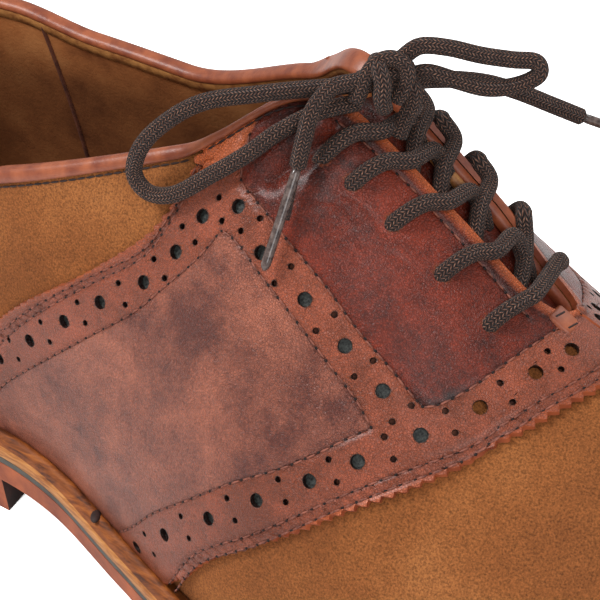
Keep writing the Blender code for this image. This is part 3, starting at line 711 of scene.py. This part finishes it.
def makeSaddleSide(side):
    ups = np.linspace(saddleLook["low"], 1, 400)
    teeth, edges = [], []
    for rows, sign in ((saddleRear, -1), (saddleFront, 1)):
        rows = steadyCurve(saddleUp, rows, ups)
        line = lastPoint(side, rows, ups)
        stretch = np.linalg.norm(lastPoint(side, rows + 0.05, ups) - line, axis=1) / 0.05
        zigzag = np.abs((arcLengths(line) / saddleLook["toothPitch"]) % 1 - 0.5) * 2
        teeth.append(rows + sign * (zigzag - 0.5) * saddleLook["toothDepth"] / stretch)
        edges.append(line[::3])
    tall = arcLengths(lastPoint(side, np.full(50, 7.5), np.linspace(0, 1, 50)))[-1]
    paint = []

    def place(u, v):
        up = saddleLook["low"] + (1 - saddleLook["low"]) * v
        rear, front = (np.interp(up, ups, edge) for edge in teeth)
        row = rear + (front - rear) * u
        flat = lifted(side, row, up, saddleLook["lift"])
        seamGap = np.full(len(flat), 1e9)
        for route in seams.values():
            seamGap = np.minimum(seamGap, distanceTo(flat, skinRoute(side, route, 0.5)[0]))
        rearGap, frontGap = (distanceTo(flat, edge) for edge in edges)
        edgeRows = np.linspace(throatTopRow - 0.1, throatBaseRow, 120)
        edgeGap = distanceTo(flat, lastPoint(side, edgeRows, np.ones(120)))
        facing = insideShape(row, up, facingShape)
        strip = ~facing & ~insideShape(row, up, centreShape)
        corner = (up > 0.865) & (rearGap < 3.4)
        height = creaseHeight(side, flat) - saddleLook["seamDepth"] * hump(seamGap, saddleLook["seamHalf"])
        height += saddleLook["edgeSwell"] * hump(edgeGap - 1.3, 1.1)
        height += strip * saddleLook["stripSwell"] * (1 - hump(seamGap, 0.8))
        height += corner * saddleLook["ribHeight"] * np.sin(rearGap * math.tau / saddleLook["ribPitch"])
        patch = (up > 0.875) & (row < 6.5) & ~facing
        # a paler patch along the front edge near row 8.25
        frontEdgePale = hump(row - 8.25, 0.3) * np.clip(1.2 - frontGap / 1.6, 0, 1)
        green = np.clip(1.5 - edgeGap / 1.3, 0, 1) * 0.9 + patch * 0.75 + frontEdgePale * 0.4 + strip * 0.2
        green += np.clip(1 - np.minimum(rearGap, frontGap) / 1.2, 0, 1) * 0.3
        blue = np.maximum(0.85 * hump(seamGap, 0.45), 0.7 * hump(edgeGap - 2.1, 0.32))
        paint.extend(zip(np.where(facing, 1, strip * 0.5), np.minimum(green, 1), blue, np.ones(len(u))))
        return flat + lastNormal(side, row, up) * height[:, None]

    bm = newGridMesh()
    columns, rings = (int(length / saddleLook["cell"]) for length in (saddleLook["across"], tall * 1.25))
    verts = addGrid(bm, columns, rings, place)
    layer = bm.verts.layers.float_color["paint"]
    for vert, colour in zip(verts, paint):
        vert[layer] = colour
    faceOut(bm)
    return bm


def makeSaddle():
    for side, name in ((outer, "saddleOuter"), (inner, "saddleInner")):
        sheet = newObject("sheet", meshFrom("sheet", makeSaddleSide(side), [saddleLeather, rawEdge]))
        addWall(sheet, saddleLook["thick"], 1, 0, 1)
        cutter, backing = makePunches(side)
        punches = newObject("punches", meshFrom("punches", cutter, [punchEdge]))
        cut = sheet.modifiers.new("holes", "BOOLEAN")
        cut.object = punches
        cut.solver = "MANIFOLD"
        cut.operation = "DIFFERENCE"
        bpy.context.view_layer.update()
        ready = sheet.evaluated_get(bpy.context.evaluated_depsgraph_get())
        done = bpy.data.meshes.new_from_object(ready)
        done.name = name
        done.set_sharp_from_angle(angle=math.radians(42))
        bpy.data.objects.remove(sheet)
        bpy.data.objects.remove(punches)
        piece = newObject(name, done)
        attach(piece, "root")
        if side == outer:
            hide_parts("saddle")
        addPiece(name + "Backing", backing, [holeLook, seamShade])


makeSaddle()
print("saddle made")


def sweepTube(bm, line, radius, around):
    # a round tube along a line of millimetre points, with a UV in millimetres along it
    line = np.asarray(line, float)
    count = len(line) - 1
    tangent = unit(np.gradient(line, axis=0))
    normal = np.zeros_like(line)
    reference = np.array((0.0, 0.0, 1.0)) if abs(tangent[0][2]) < 0.9 else np.array((1.0, 0.0, 0.0))
    normal[0] = unit(np.cross(tangent[0], reference))
    for n in range(1, len(line)):
        carried = normal[n - 1] - tangent[n] * normal[n - 1].dot(tangent[n])
        normal[n] = unit(carried)
    binormal = np.cross(tangent, normal)
    radii = np.broadcast_to(np.asarray(radius, float), len(line))
    runs = arcLengths(line)

    def place(u, v):
        n = np.rint(u * count).astype(int)
        angle = v * math.tau
        reach = radii[n][:, None]
        return line[n] + (normal[n] * np.cos(angle)[:, None] + binormal[n] * np.sin(angle)[:, None]) * reach

    old = set(bm.faces)
    verts = addGrid(bm, count, around, place)
    layer = bm.loops.layers.uv.active
    for face in bm.faces:
        if face not in old:
            for loop in face.loops:
                u, v = loop[layer].uv
                loop[layer].uv = (float(np.interp(u * count, np.arange(count + 1), runs)), v)
    bmesh.ops.remove_doubles(bm, verts=verts, dist=1e-6)
    return verts


def closeEnds(bm):
    rims = [edge for edge in bm.edges if edge.is_boundary]
    bmesh.ops.holes_fill(bm, edges=rims, sides=0)
    bmesh.ops.recalc_face_normals(bm, faces=bm.faces)


# the laces: five crossings, then the bow
laceSize = {"radius": 1.52, "neck": 1.15, "inside": 0.7, "insideAglet": 9, "insideSteps": 22,
            "agletRadius": 0.88, "agletStart": (0.6, 0.78, 0.86), "agletEnd": (0.84, 0.66, 0.3)}
knotCentre = np.array((157.3, 2.6, 102.0))
nearLoop = [
    (155.6, 2.2, 100.6), (153.4, 1.2, 100.6), (147.3, -3.9, 101.2), (138.5, -10.2, 101.2),
    (129.1, -16.1, 100), (121.6, -21.5, 94.6), (118.6, -23.8, 88.2), (121.4, -24.3, 84.6),
    (126.7, -23.2, 85), (133.2, -20, 89), (139, -16.8, 92.8), (143.4, -12.6, 96.2), (148, -7, 98.2),
    (153, -1.8, 98.6),
]
farLoop = [
    (156.6, 4.2, 103.4), (157.5, 5.6, 104.4), (159.8, 8, 106), (164, 10.4, 105.4), (168.3, 13.4, 103.4),
    (172.5, 16.6, 101.8), (175.6, 19, 100.8), (176.2, 18.6, 98.6), (173.2, 16, 97.2), (169.4, 12.6, 97.6),
    (165.4, 9.8, 99.6), (161.4, 7.6, 101.4), (159, 6, 101.2),
]
nearEnd = [
    (156.2, 1.4, 101.6), (154.6, -0.6, 102.6), (152.6, -3, 103), (150.6, -6, 103), (149.5, -10.3, 100.6),
    (149.2, -13.2, 96.5), (149.2, -15.9, 92.4),
]
nearAglet = [(149.2, -15.9, 92.4), (148.6, -27.6, 78.4)]
farEnd = [
    (157.6, 4.8, 99.8), (158.8, 6.6, 99.6), (160.6, 9.8, 98.6), (163.8, 13.4, 97.4), (167, 17.2, 95.4),
    (170.4, 21.2, 92.2), (174, 25.4, 88.2), (177.4, 29.6, 84.2),
]
farAglet = [(177.4, 29.6, 84.2), (188.8, 43.4, 72.2)]


def gapPoint(row, aside, height):
    return ridgeLine(row) + (0.0, aside, height)


def laceHalf(side, row):
    # up out of the eyelet and over the facing towards its edge
    return [
        lifted(side, row - 0.03, eyeletUp - 0.03, -2.4),
        lifted(side, row - 0.005, eyeletUp - 0.004, 0.5),
        lifted(side, row + 0.03, eyeletUp + 0.035, 2.5),
        lifted(side, row + 0.08, 0.96, 2.85),
    ]


def laceRoutes(nth, row):
    near, far = laceHalf(outer, row), laceHalf(inner, row)
    if nth == 1:
        near += [lifted(outer, row + 0.12, 1.0, 2.9)]
        far = far[:3] + [lifted(inner, row + 0.04, 0.96, 2.7), lifted(inner, row + 0.05, 1.0, 2.9)]
        return [near + far[::-1]]
    above = 1.4 if nth == 2 else 0.0
    near += [lifted(outer, row + 0.17, 1.0, 2.6 + above * 0.3), gapPoint(row + 0.27, 0.6, 1.1 + above),
             gapPoint(row + 0.34, 1.4, -1.6), gapPoint(row + 0.36, 1.6, -5.0)]
    far += [lifted(inner, row + 0.12, 1.0, 2.7), lifted(inner, row + 0.25, 1.0, 1.9 - above),
            gapPoint(row + 0.37, 0.2, 0.7 - above), lifted(outer, row + 0.46, 1.0, -0.4),
            lifted(outer, row + 0.5, 0.985, -3.6)]
    return [near, far]


def addTube(name, lines, looks, nodes, radius=laceSize["radius"], around=18):
    bm = newGridMesh()
    for line in lines:
        sweepTube(bm, line, radius, around)
    closeEnds(bm)
    return addPiece(name, bm, looks, nodes)


def makeAglet(name, route, node):
    line = smoothRoute(route, 0.5)
    radii = np.full(len(line), laceSize["agletRadius"])
    radii[:3] = laceSize["agletStart"]
    radii[-3:] = laceSize["agletEnd"]
    return addTube(name, [line], [aglet], [node], radii, 24)


# the knot's strands, in millimetres from its middle: to the right, up and towards the camera
knotLook = {
    "right": (0.799, 0.589, -0.122), "up": (-0.265, 0.527, 0.808), "toward": (0.540, -0.613, 0.577),
    "strands": [
        [(-6.4, -4, 0.4), (-5.2, -1.6, 1.4), (-3.4, 1.6, 2.4), (-1.2, 3, 2.6), (1.2, 2.6, 2.2),
         (2.4, 0.6, 1.6), (1.8, -1.8, 0.8), (0.6, -3.6, -0.6)],
        [(-2.8, 3.0, 0.8), (-2.4, 1.2, 3.4), (-1.8, -1.2, 3.9), (-1.9, -3.6, 2.9), (-1.4, -5.2, 0.4)],
        [(-5.6, -0.2, -0.6), (-3.0, 0.6, 0.4), (0.4, 0.9, 0.6), (3.6, 1.4, 0.0)],
        [(1.6, 1.2, -0.4), (3.2, -1.2, 0.2), (3.6, -3.6, -0.6), (2.2, -6.8, -2.2), (1.2, -9.6, -3.6)],
        [(-3.4, -1.8, -1.4), (-0.6, -1.8, -1.6), (1.6, -2.2, -1.8)],
        [(-1.4, -3.2, -0.6), (0.5, -0.6, -0.4), (2.6, 1.6, -0.8)],
    ],
}


def makeKnot():
    axes = np.array([knotLook["right"], knotLook["up"], knotLook["toward"]])
    lines = [smoothRoute([knotCentre + np.array(spot) @ axes for spot in strand], 0.45)
             for strand in knotLook["strands"]]
    return addTube("laceKnot", lines, [laceBraid], ["lace_knot"])


def makeLaces():
    knot = makeKnot()
    for nth, row in enumerate(eyeletRows, 1):
        lines = [smoothRoute(route, 0.45) for route in laceRoutes(nth, row)]
        addTube(f"laceRow{nth}", lines, [laceBraid], [f"lace_row_{nth}"])
    agletNear = makeAglet("agletNear", nearAglet, "aglet_near")
    agletFar = makeAglet("agletFar", farAglet, "aglet_far")
    for name, route, node, tip, farEndIs in (
            ("laceLoopNear", nearLoop, "lace_loop_near", None, "object"),
            ("laceLoopFar", farLoop, "lace_loop_far", None, "object"),
            ("laceEndNear", nearEnd, "lace_end_near", agletNear, "bare"),
            ("laceEndFar", farEnd, "lace_end_far", agletFar, "bare")):
        line = smoothRoute(route, 0.45)
        radii = np.full(len(line), laceSize["radius"])
        if tip:
            heading = unit(line[-1] - line[-3])
            depths = np.linspace(0.4, laceSize["insideAglet"], laceSize["insideSteps"])
            inside = line[-1] + heading * depths[:, None]
            radii[-1] = laceSize["neck"]
            radii = np.concatenate((radii, np.full(len(depths), laceSize["inside"])))
            line = np.concatenate((line, inside))
        cord = addTube(name, [line], [laceBraid], [node], radii)
        world = [tuple(float(v) for v in point) for point in toWorld(line)]


makeLaces()
print("laces made")

# the tongue under the facings
tongueLook = {"under": 3.45, "thick": 1.8, "sideGirth": 78, "row": [7.02, 7.12, 7.35, 7.8, 8.6, 9.3, 9.6],
              "halfWidth": [4, 10, 16, 19, 19, 15, 9]}


def makeTongue():
    def place(u, v):
        row = tongueLook["row"][0] + (tongueLook["row"][-1] - tongueLook["row"][0]) * u
        across = 2 * v - 1
        reach = np.abs(across) * steadyCurve(tongueLook["row"], tongueLook["halfWidth"], row)
        spots = np.zeros((len(u), 3))
        for side in (outer, inner):
            mine = across < 0 if side == outer else across >= 0
            edge, middle = lastPoint(side, row, 1.0), ridgeLine(row)
            span = np.maximum(np.abs(edge[:, 1] - middle[:, 1]), 1e-6)
            share = np.minimum(reach / span, 1.0)[:, None]
            bridged = middle + (edge - middle) * share
            up = 1 - np.maximum(reach - span, 0) / tongueLook["sideGirth"]
            spot = np.where((reach <= span)[:, None], bridged, lastPoint(side, row, up))
            spots[mine] = spot[mine]
        return spots - (0, 0, tongueLook["under"])

    bm = newGridMesh()
    addGrid(bm, 70, 50, place)
    faceOut(bm)
    piece = addPiece("tonguePiece", bm, [tongueLeather, rawEdge], ["tongue"])
    addWall(piece, tongueLook["thick"], -1, 0, 1)


makeTongue()
print("tongue made")

# the bound collar edge
bindingLook = {"columns": 420, "endRow": 6.98, "stitchBelow": 3.0, "stitchPitch": 2.0}
bindingSection = [
    (0.05, 2.4), (0.6, 2.35), (0.92, 1.9), (1, 1), (0.9, 0.25), (0.6, -0.35), (0, -0.7), (-0.8, -0.85),
    (-1.6, -0.8), (-2.2, -0.55), (-2.5, -0.1), (-2.6, 0.3), (-2.55, 0.6), (-2.35, 0.7), (-2.25, 0.2),
    (0.05, 0.1),
]
tapeSection = [(-2.25, 0.2), (-2.5, 0.5), (-2.6, 1.8), (-2.5, 3.0), (-2.2, 3.2)]


def bindingFrame(side, row):
    top = lastPoint(side, row, np.ones(len(row)))
    below = unit(lastPoint(side, row, np.full(len(row), 0.97)) - top)
    normal = lastNormal(side, row, np.ones(len(row)))
    raised = np.clip((row - 6.0) / 0.15, 0, 1) * (saddleLook["thick"] + saddleLook["lift"])
    return top, below, normal, raised


def makeCollarRing(name, steps, look, nodes):
    def place(u, v):
        s = 1 - 2 * u
        row = np.abs(s) * bindingLook["endRow"]
        nth = np.rint(v * len(steps)).astype(int) % len(steps)
        section = np.array(steps)[nth]
        spots = np.zeros((len(u), 3))
        for side, mine in ((outer, s >= 0), (inner, s < 0)):
            top, below, normal, raised = bindingFrame(side, row[mine])
            out = section[mine][:, 0:1]
            out = out + np.where(out > -1.0, raised[:, None], 0)
            spots[mine] = top + normal * out + below * section[mine][:, 1:2]
        return spots

    bm = newGridMesh()
    addGrid(bm, bindingLook["columns"], len(steps), place)
    bmesh.ops.remove_doubles(bm, verts=bm.verts, dist=1e-6)
    closeEnds(bm)
    addPiece(name, bm, [look], nodes)


makeCollarRing("collarBinding", bindingSection, bindingLeather, ["collar_binding"])
makeCollarRing("liningTape", tapeSection, tongueFold, [])

# the lining's vertical seam, one on each side
liningSeam = {"row": 3.36, "ups": (0.96, 0.8, 0.6, 0.4, 0.25), "height": -2.1, "radius": 0.55}
for side, name in ((inner, "liningSeamInner"), (outer, "liningSeamOuter")):
    spots = [lifted(side, liningSeam["row"], up, liningSeam["height"]) for up in liningSeam["ups"]]
    addTube(name, [smoothRoute(spots, 0.5)], [seamShade], [], liningSeam["radius"], 10)
print("binding made")

# stitches: short sunk threads, with a flat dark disc of painted shade for the needle hole at each end
stitchLook = {"pitch": 2.75, "length": 2.0, "radius": 0.21, "hole": 0.37, "holeThick": 0.12}


def reliefRoute(side, route, height):
    # a line over the leather's creases, with a point at every tenth of a millimetre
    points, row, up = skinRoute(side, route, 0.1, height)
    normals = lastNormal(side, row, up)
    return points + normals * creaseHeight(side, lastPoint(side, row, up))[:, None], normals


def addStitches(bm, side, route, height, pitch):
    points, normals = reliefRoute(side, route, height)
    half = int(stitchLook["length"] * 5)
    thin = stitchLook["radius"] * 0.001
    for run in np.arange(pitch / 2, len(points) * 0.1 - pitch / 2, pitch):
        n = int(run / 0.1)
        a, b = points[max(n - half, 0)], points[min(n + half, len(points) - 1)]
        heading = Vector(unit(b - a))
        across = Vector(normals[n]).cross(heading).normalized()
        turn = Matrix((heading, across, heading.cross(across))).transposed().to_4x4()
        spot = placed((a + b) / 2, turn, (np.linalg.norm(b - a) * 0.0005, thin, thin))
        bmesh.ops.create_icosphere(bm, subdivisions=2, radius=1, matrix=spot)


def addNeedleHoles(bm, side, route, height, pitch):
    points, normals = reliefRoute(side, route, height)
    # painted shade: a flat dark disc stands for the shade in each needle hole
    wide, thin = stitchLook["hole"] * 0.001, stitchLook["holeThick"] * 0.001
    for run in np.arange(0.1, len(points) * 0.1 - 0.1, pitch):
        n = int(run / 0.1)
        spot = placed(points[n], turnTo(normals[n]), (wide, wide, thin))
        bmesh.ops.create_icosphere(bm, subdivisions=1, radius=1, matrix=spot)


def makeStitches():
    surface = saddleLook["lift"] + saddleLook["thick"]
    for side, name in ((outer, "Outer"), (inner, "Inner")):
        threads, holes = bmesh.new(), bmesh.new()
        for route in seams.values():
            addStitches(threads, side, route, surface - 0.13, stitchLook["pitch"])
            addNeedleHoles(holes, side, route, surface - 0.16, stitchLook["pitch"])
        addPiece("saddleThread" + name, threads, [threadLook])
        addPiece("needleHoles" + name, holes, [needleHoleShade])
        collar = bmesh.new()
        for rows, height in ((np.linspace(0.3, 6.1, 16), 0.05), (np.linspace(6.2, 6.9, 6), surface + 0.3)):
            route = offsetRoute(side, [(row, 1.0) for row in rows], -bindingLook["stitchBelow"])
            addStitches(collar, side, route, height, bindingLook["stitchPitch"])
        addPiece("collarThread" + name, collar, [darkThread])


makeStitches()
print("stitches made")

# the stitched bar that closes the throat, and the folded strip of the tongue above it
throatLook = {
    "barRow": 9.03, "bar": (5.2, 4.2, 1.6), "aside": -3.2, "over": 0.9, "bevel": 0.7,
    "thread": 0.2, "threadsAt": (-1.5, 1.4), "threadReach": 1.1, "threadOver": 0.72, "threadSlant": 0.5,
    "foldRows": (7.42, 7.86), "foldRadius": 1.1, "foldAside": 1.6, "foldOver": -1.9,
}


def makeThroatEnd():
    middle = gapPoint(throatLook["barRow"], throatLook["aside"], throatLook["over"])
    along = unit(ridgeLine(throatLook["barRow"] + 0.3) - ridgeLine(throatLook["barRow"] - 0.3))
    across = np.array((0.0, 1.0, 0.0))
    rise = np.cross(along, across)
    turn = Matrix((Vector(along), Vector(across), Vector(rise))).transposed().to_4x4()
    size = [value * 0.001 for value in throatLook["bar"]]
    bm = newGridMesh()
    bmesh.ops.create_cube(bm, size=1, matrix=placed(middle, turn, size))
    bmesh.ops.bevel(bm, geom=bm.edges[:], offset=throatLook["bevel"] * 0.001, affect="EDGES", segments=3,
                    profile=0.5, material=-1)
    addPiece("throatBar", bm, [bindingLeather], [])
    threads = []
    reach = across * throatLook["threadReach"]
    for offset in throatLook["threadsAt"]:
        start = middle + along * offset + rise * throatLook["threadOver"]
        threads.append(smoothRoute([start - reach, start + reach + along * throatLook["threadSlant"]], 0.3))
    addTube("throatBarThread", threads, [darkThread], [], throatLook["thread"], 8)
    rows = np.linspace(*throatLook["foldRows"], 6)
    fold = [gapPoint(row, throatLook["foldAside"], throatLook["foldOver"]) for row in rows]
    addTube("tongueFoldStrip", [smoothRoute(fold, 0.5)], [tongueFold], [],
            throatLook["foldRadius"], 12)


makeThroatEnd()
print("throat's end made")


# the sole, in layers: the welt a section swept round the foot line, the others slabs that fill the foot line
def makeRing(name, section, columns, looks, nodes):
    def place(u, v):
        s = 1 - 2 * u
        row = lastRow * (1 - np.abs(s))
        nth = np.rint(v * len(section)).astype(int) % len(section)
        spots = np.zeros((len(u), 3))
        steps = np.array([(out, over) for out, over, _ in section])[nth]
        for side, mine in ((outer, s >= 0), (inner, s < 0)):
            foot = footLine(side, row[mine])
            spot = foot + outward(side, row[mine]) * steps[mine][:, 0:1]
            spot[:, 2] = weltBase(spot[:, 0]) + steps[mine][:, 1]
            spots[mine] = spot
        return spots

    bm = newGridMesh()
    addGrid(bm, columns, len(section), place)
    layer = bm.loops.layers.uv.active
    for face in bm.faces:
        middle = sum(loop[layer].uv[1] for loop in face.loops) / len(face.loops)
        face.material_index = section[int(middle * len(section)) % len(section)][2]
    bmesh.ops.remove_doubles(bm, verts=bm.verts, dist=1e-6)
    bmesh.ops.recalc_face_normals(bm, faces=bm.faces)
    return addPiece(name, bm, looks, nodes)


weltSection = [  # out from the foot line, up from the welt's underside, which look
    (-2.4, 0, 1), (4.3, 0, 1), (4.6, 0.25, 1), (4.6, 2.7, 1), (4.35, 3.1, 0), (3.9, 3.2, 0),
    (3.5, 3.45, 0), (3.1, 4, 0), (2.6, 4.45, 0), (2, 4.6, 0), (1.5, 4.35, 0), (1.2, 3.8, 0),
    (1.1, 3.5, 0), (-2.4, 3.5, 0),
]


soleLook = {
    "columns": 220, "rings": 14, "midsoleInset": 0.1, "midsoleNip": 0.02,
    "insoleInset": 2.6, "insoleThick": 1.8,
    "heelInset": 0.6, "heelTop": 8.95, "heelEndRow": 4.29, "heelHollow": 3,
}


def makeSole():
    makeRing("weltRing", weltSection, 560, [weltBead, weltEdge], ["welt"])

    def slab(name, beyond, low, high, look, nodes, endRow=lastRow, hollow=0):
        def place(u, v):
            row = endRow * u
            a = footLine(outer, row) + outward(outer, row) * beyond
            b = footLine(inner, row) + outward(inner, row) * beyond
            spot = a + (b - a) * v[:, None]
            spot[:, 0] -= np.where(u > 0.9999, hollow * 4 * v * (1 - v), 0)  # the heel's front is hollowed
            spot[:, 2] = low(spot[:, 0])
            return spot

        bm = newGridMesh()
        addGrid(bm, soleLook["columns"], soleLook["rings"], place)
        bmesh.ops.remove_doubles(bm, verts=bm.verts, dist=1e-5)
        raised = bmesh.ops.extrude_face_region(bm, geom=bm.faces[:])["geom"]
        tops = [item for item in raised if isinstance(item, bmesh.types.BMVert)]
        heights = high(np.array([vert.co.x for vert in tops]) * 1000 + heelCentreX)
        for vert, height in zip(tops, heights):
            vert.co.z = height * 0.001
        bmesh.ops.recalc_face_normals(bm, faces=bm.faces)
        # painted shade: the faces turned towards the toe, the heel's front, take the dark look
        if hollow:
            for face in bm.faces:
                face.material_index = int(face.normal.x > 0.5)
        piece = addPiece(name, bm, [look, paintedHeelShade], nodes)
        piece.data.set_sharp_from_angle(angle=math.radians(40))

    slab("outsoleSlab", soleBeyondUpper, underside, outsoleTop, outsoleLook, ["outsole"])
    nip = soleLook["midsoleNip"]
    slab("midsoleLine", soleBeyondUpper - soleLook["midsoleInset"], lambda x: outsoleTop(x) + nip,
         lambda x: weltBase(x) - nip, midsoleLook, ["midsole"])
    slab("insoleBed", -soleLook["insoleInset"], weltBase,
         lambda x: weltBase(x) + weltThick + soleLook["insoleThick"], lining, ["insole"])
    slab("heelBlock", soleBeyondUpper - soleLook["heelInset"], lambda x: x * 0,
         lambda x: x * 0 + soleLook["heelTop"], outsoleLook, ["heel"],
         soleLook["heelEndRow"], soleLook["heelHollow"])


makeSole()
print("sole made")

# the dark splice where the welt's two ends meet
spliceLook = {"row": 5.68, "out": 2.7, "rise": 4.35, "size": (2.0, 3.6, 1.2), "turn": 0.55}


def makeSplice():
    row = np.array([spliceLook["row"]])
    spot = (footLine(outer, row) + outward(outer, row) * spliceLook["out"])[0]
    spot[2] = weltBase(spot[0]) + spliceLook["rise"]
    size = [value * 0.0005 for value in spliceLook["size"]]
    middle = placed(spot, Matrix.Rotation(spliceLook["turn"], 4, "Z"), size)
    bm = newGridMesh()
    bmesh.ops.create_icosphere(bm, subdivisions=3, radius=1, matrix=middle)
    addPiece("weltSplice", bm, [darkThread], [])


makeSplice()

# camera, fitted to the photo's framing of the middle of the shoe
cameraLook = {"azimuth": 41.379, "elevation": 35.218, "roll": -8.601, "distance": 447.255, "lens": 147.814,
              "target": (139.067, -8.742, 56.789)}


def makeCamera():
    a, e, r = (math.radians(cameraLook[name]) for name in ("azimuth", "elevation", "roll"))
    back = Vector((math.sin(a) * math.cos(e), -math.cos(a) * math.cos(e), math.sin(e)))
    right = Vector((math.cos(a), math.sin(a), 0.0))
    up = back.cross(right)
    rolledRight = right * math.cos(r) + up * math.sin(r)
    rolledUp = up * math.cos(r) - right * math.sin(r)
    data = bpy.data.cameras.new("camera")
    data.lens = cameraLook["lens"]
    data.sensor_width = 36.0
    data.clip_start = 0.01
    data.clip_end = 50
    camera = newObject("camera", data)
    target = Vector(toWorld(cameraLook["target"]))
    camera.rotation_mode = "QUATERNION"
    camera.rotation_quaternion = Matrix((rolledRight, rolledUp, back)).transposed().to_quaternion()
    camera.location = target + back * cameraLook["distance"] * 0.001
    bpy.context.scene.camera = camera


makeCamera()
print("camera made")

# lights: name, place and aim in metres, size, power
lights = [
    ("key", (-0.25, -0.35, 0.8), (0.1, 0, 0.05), 0.3, 6),
    ("toe", (0.65, -0.4, 0.45), (0.17, -0.02, 0.05), 0.4, 2.2),
    ("back", (0.3, 0.6, 0.7), (0.1, 0, 0.06), 0.5, 2),
]
stageLook = {"world": 0.45, "floor": 0.8, "floorRoughness": 0.9, "floorGlow": 0.15, "floorReach": 2}


def addArea(name, spot, aim, size, power):
    data = bpy.data.lights.new(name, "AREA")
    data.size = size
    data.energy = power
    light = newObject(name, data)
    light.location = spot
    light.rotation_mode = "QUATERNION"
    light.rotation_quaternion = (Vector(aim) - Vector(spot)).to_track_quat("-Z", "Y")


def makeStage():
    # the camera sees a white floor and sky, while both light the shoe much less
    white = bpy.data.materials.new("white")
    white.use_nodes = True
    tree = white.node_tree
    shader = tree.nodes["Principled BSDF"]
    shader.inputs["Base Color"].default_value = (*[stageLook["floor"]] * 3, 1)
    shader.inputs["Roughness"].default_value = stageLook["floorRoughness"]
    shader.inputs["Emission Color"].default_value = (1, 1, 1, 1)
    seen = tree.nodes.new("ShaderNodeLightPath").outputs["Is Camera Ray"]
    glow = mathNode(tree, "ADD", seen, stageLook["floorGlow"])
    tree.links.new(glow, shader.inputs["Emission Strength"])
    floorMesh = bmesh.new()
    bmesh.ops.create_grid(floorMesh, x_segments=8, y_segments=8, size=stageLook["floorReach"])
    floor = newObject("floor", meshFrom("floor", floorMesh, [white]))
    world = bpy.data.worlds.new("world")
    bpy.context.scene.world = world
    world.use_nodes = True
    tree = world.node_tree
    background = tree.nodes["Background"]
    background.inputs["Color"].default_value = (1, 1, 1, 1)
    seen = tree.nodes.new("ShaderNodeLightPath").outputs["Is Camera Ray"]
    strength = mathNode(tree, "MAXIMUM", seen, stageLook["world"])
    tree.links.new(strength, background.inputs["Strength"])
    for light in lights:
        addArea(*light)
    scene = bpy.context.scene
    scene.view_settings.view_transform = "Standard"
    scene.view_settings.look = "None"
    scene.render.film_transparent = False


makeStage()
print("stage made")
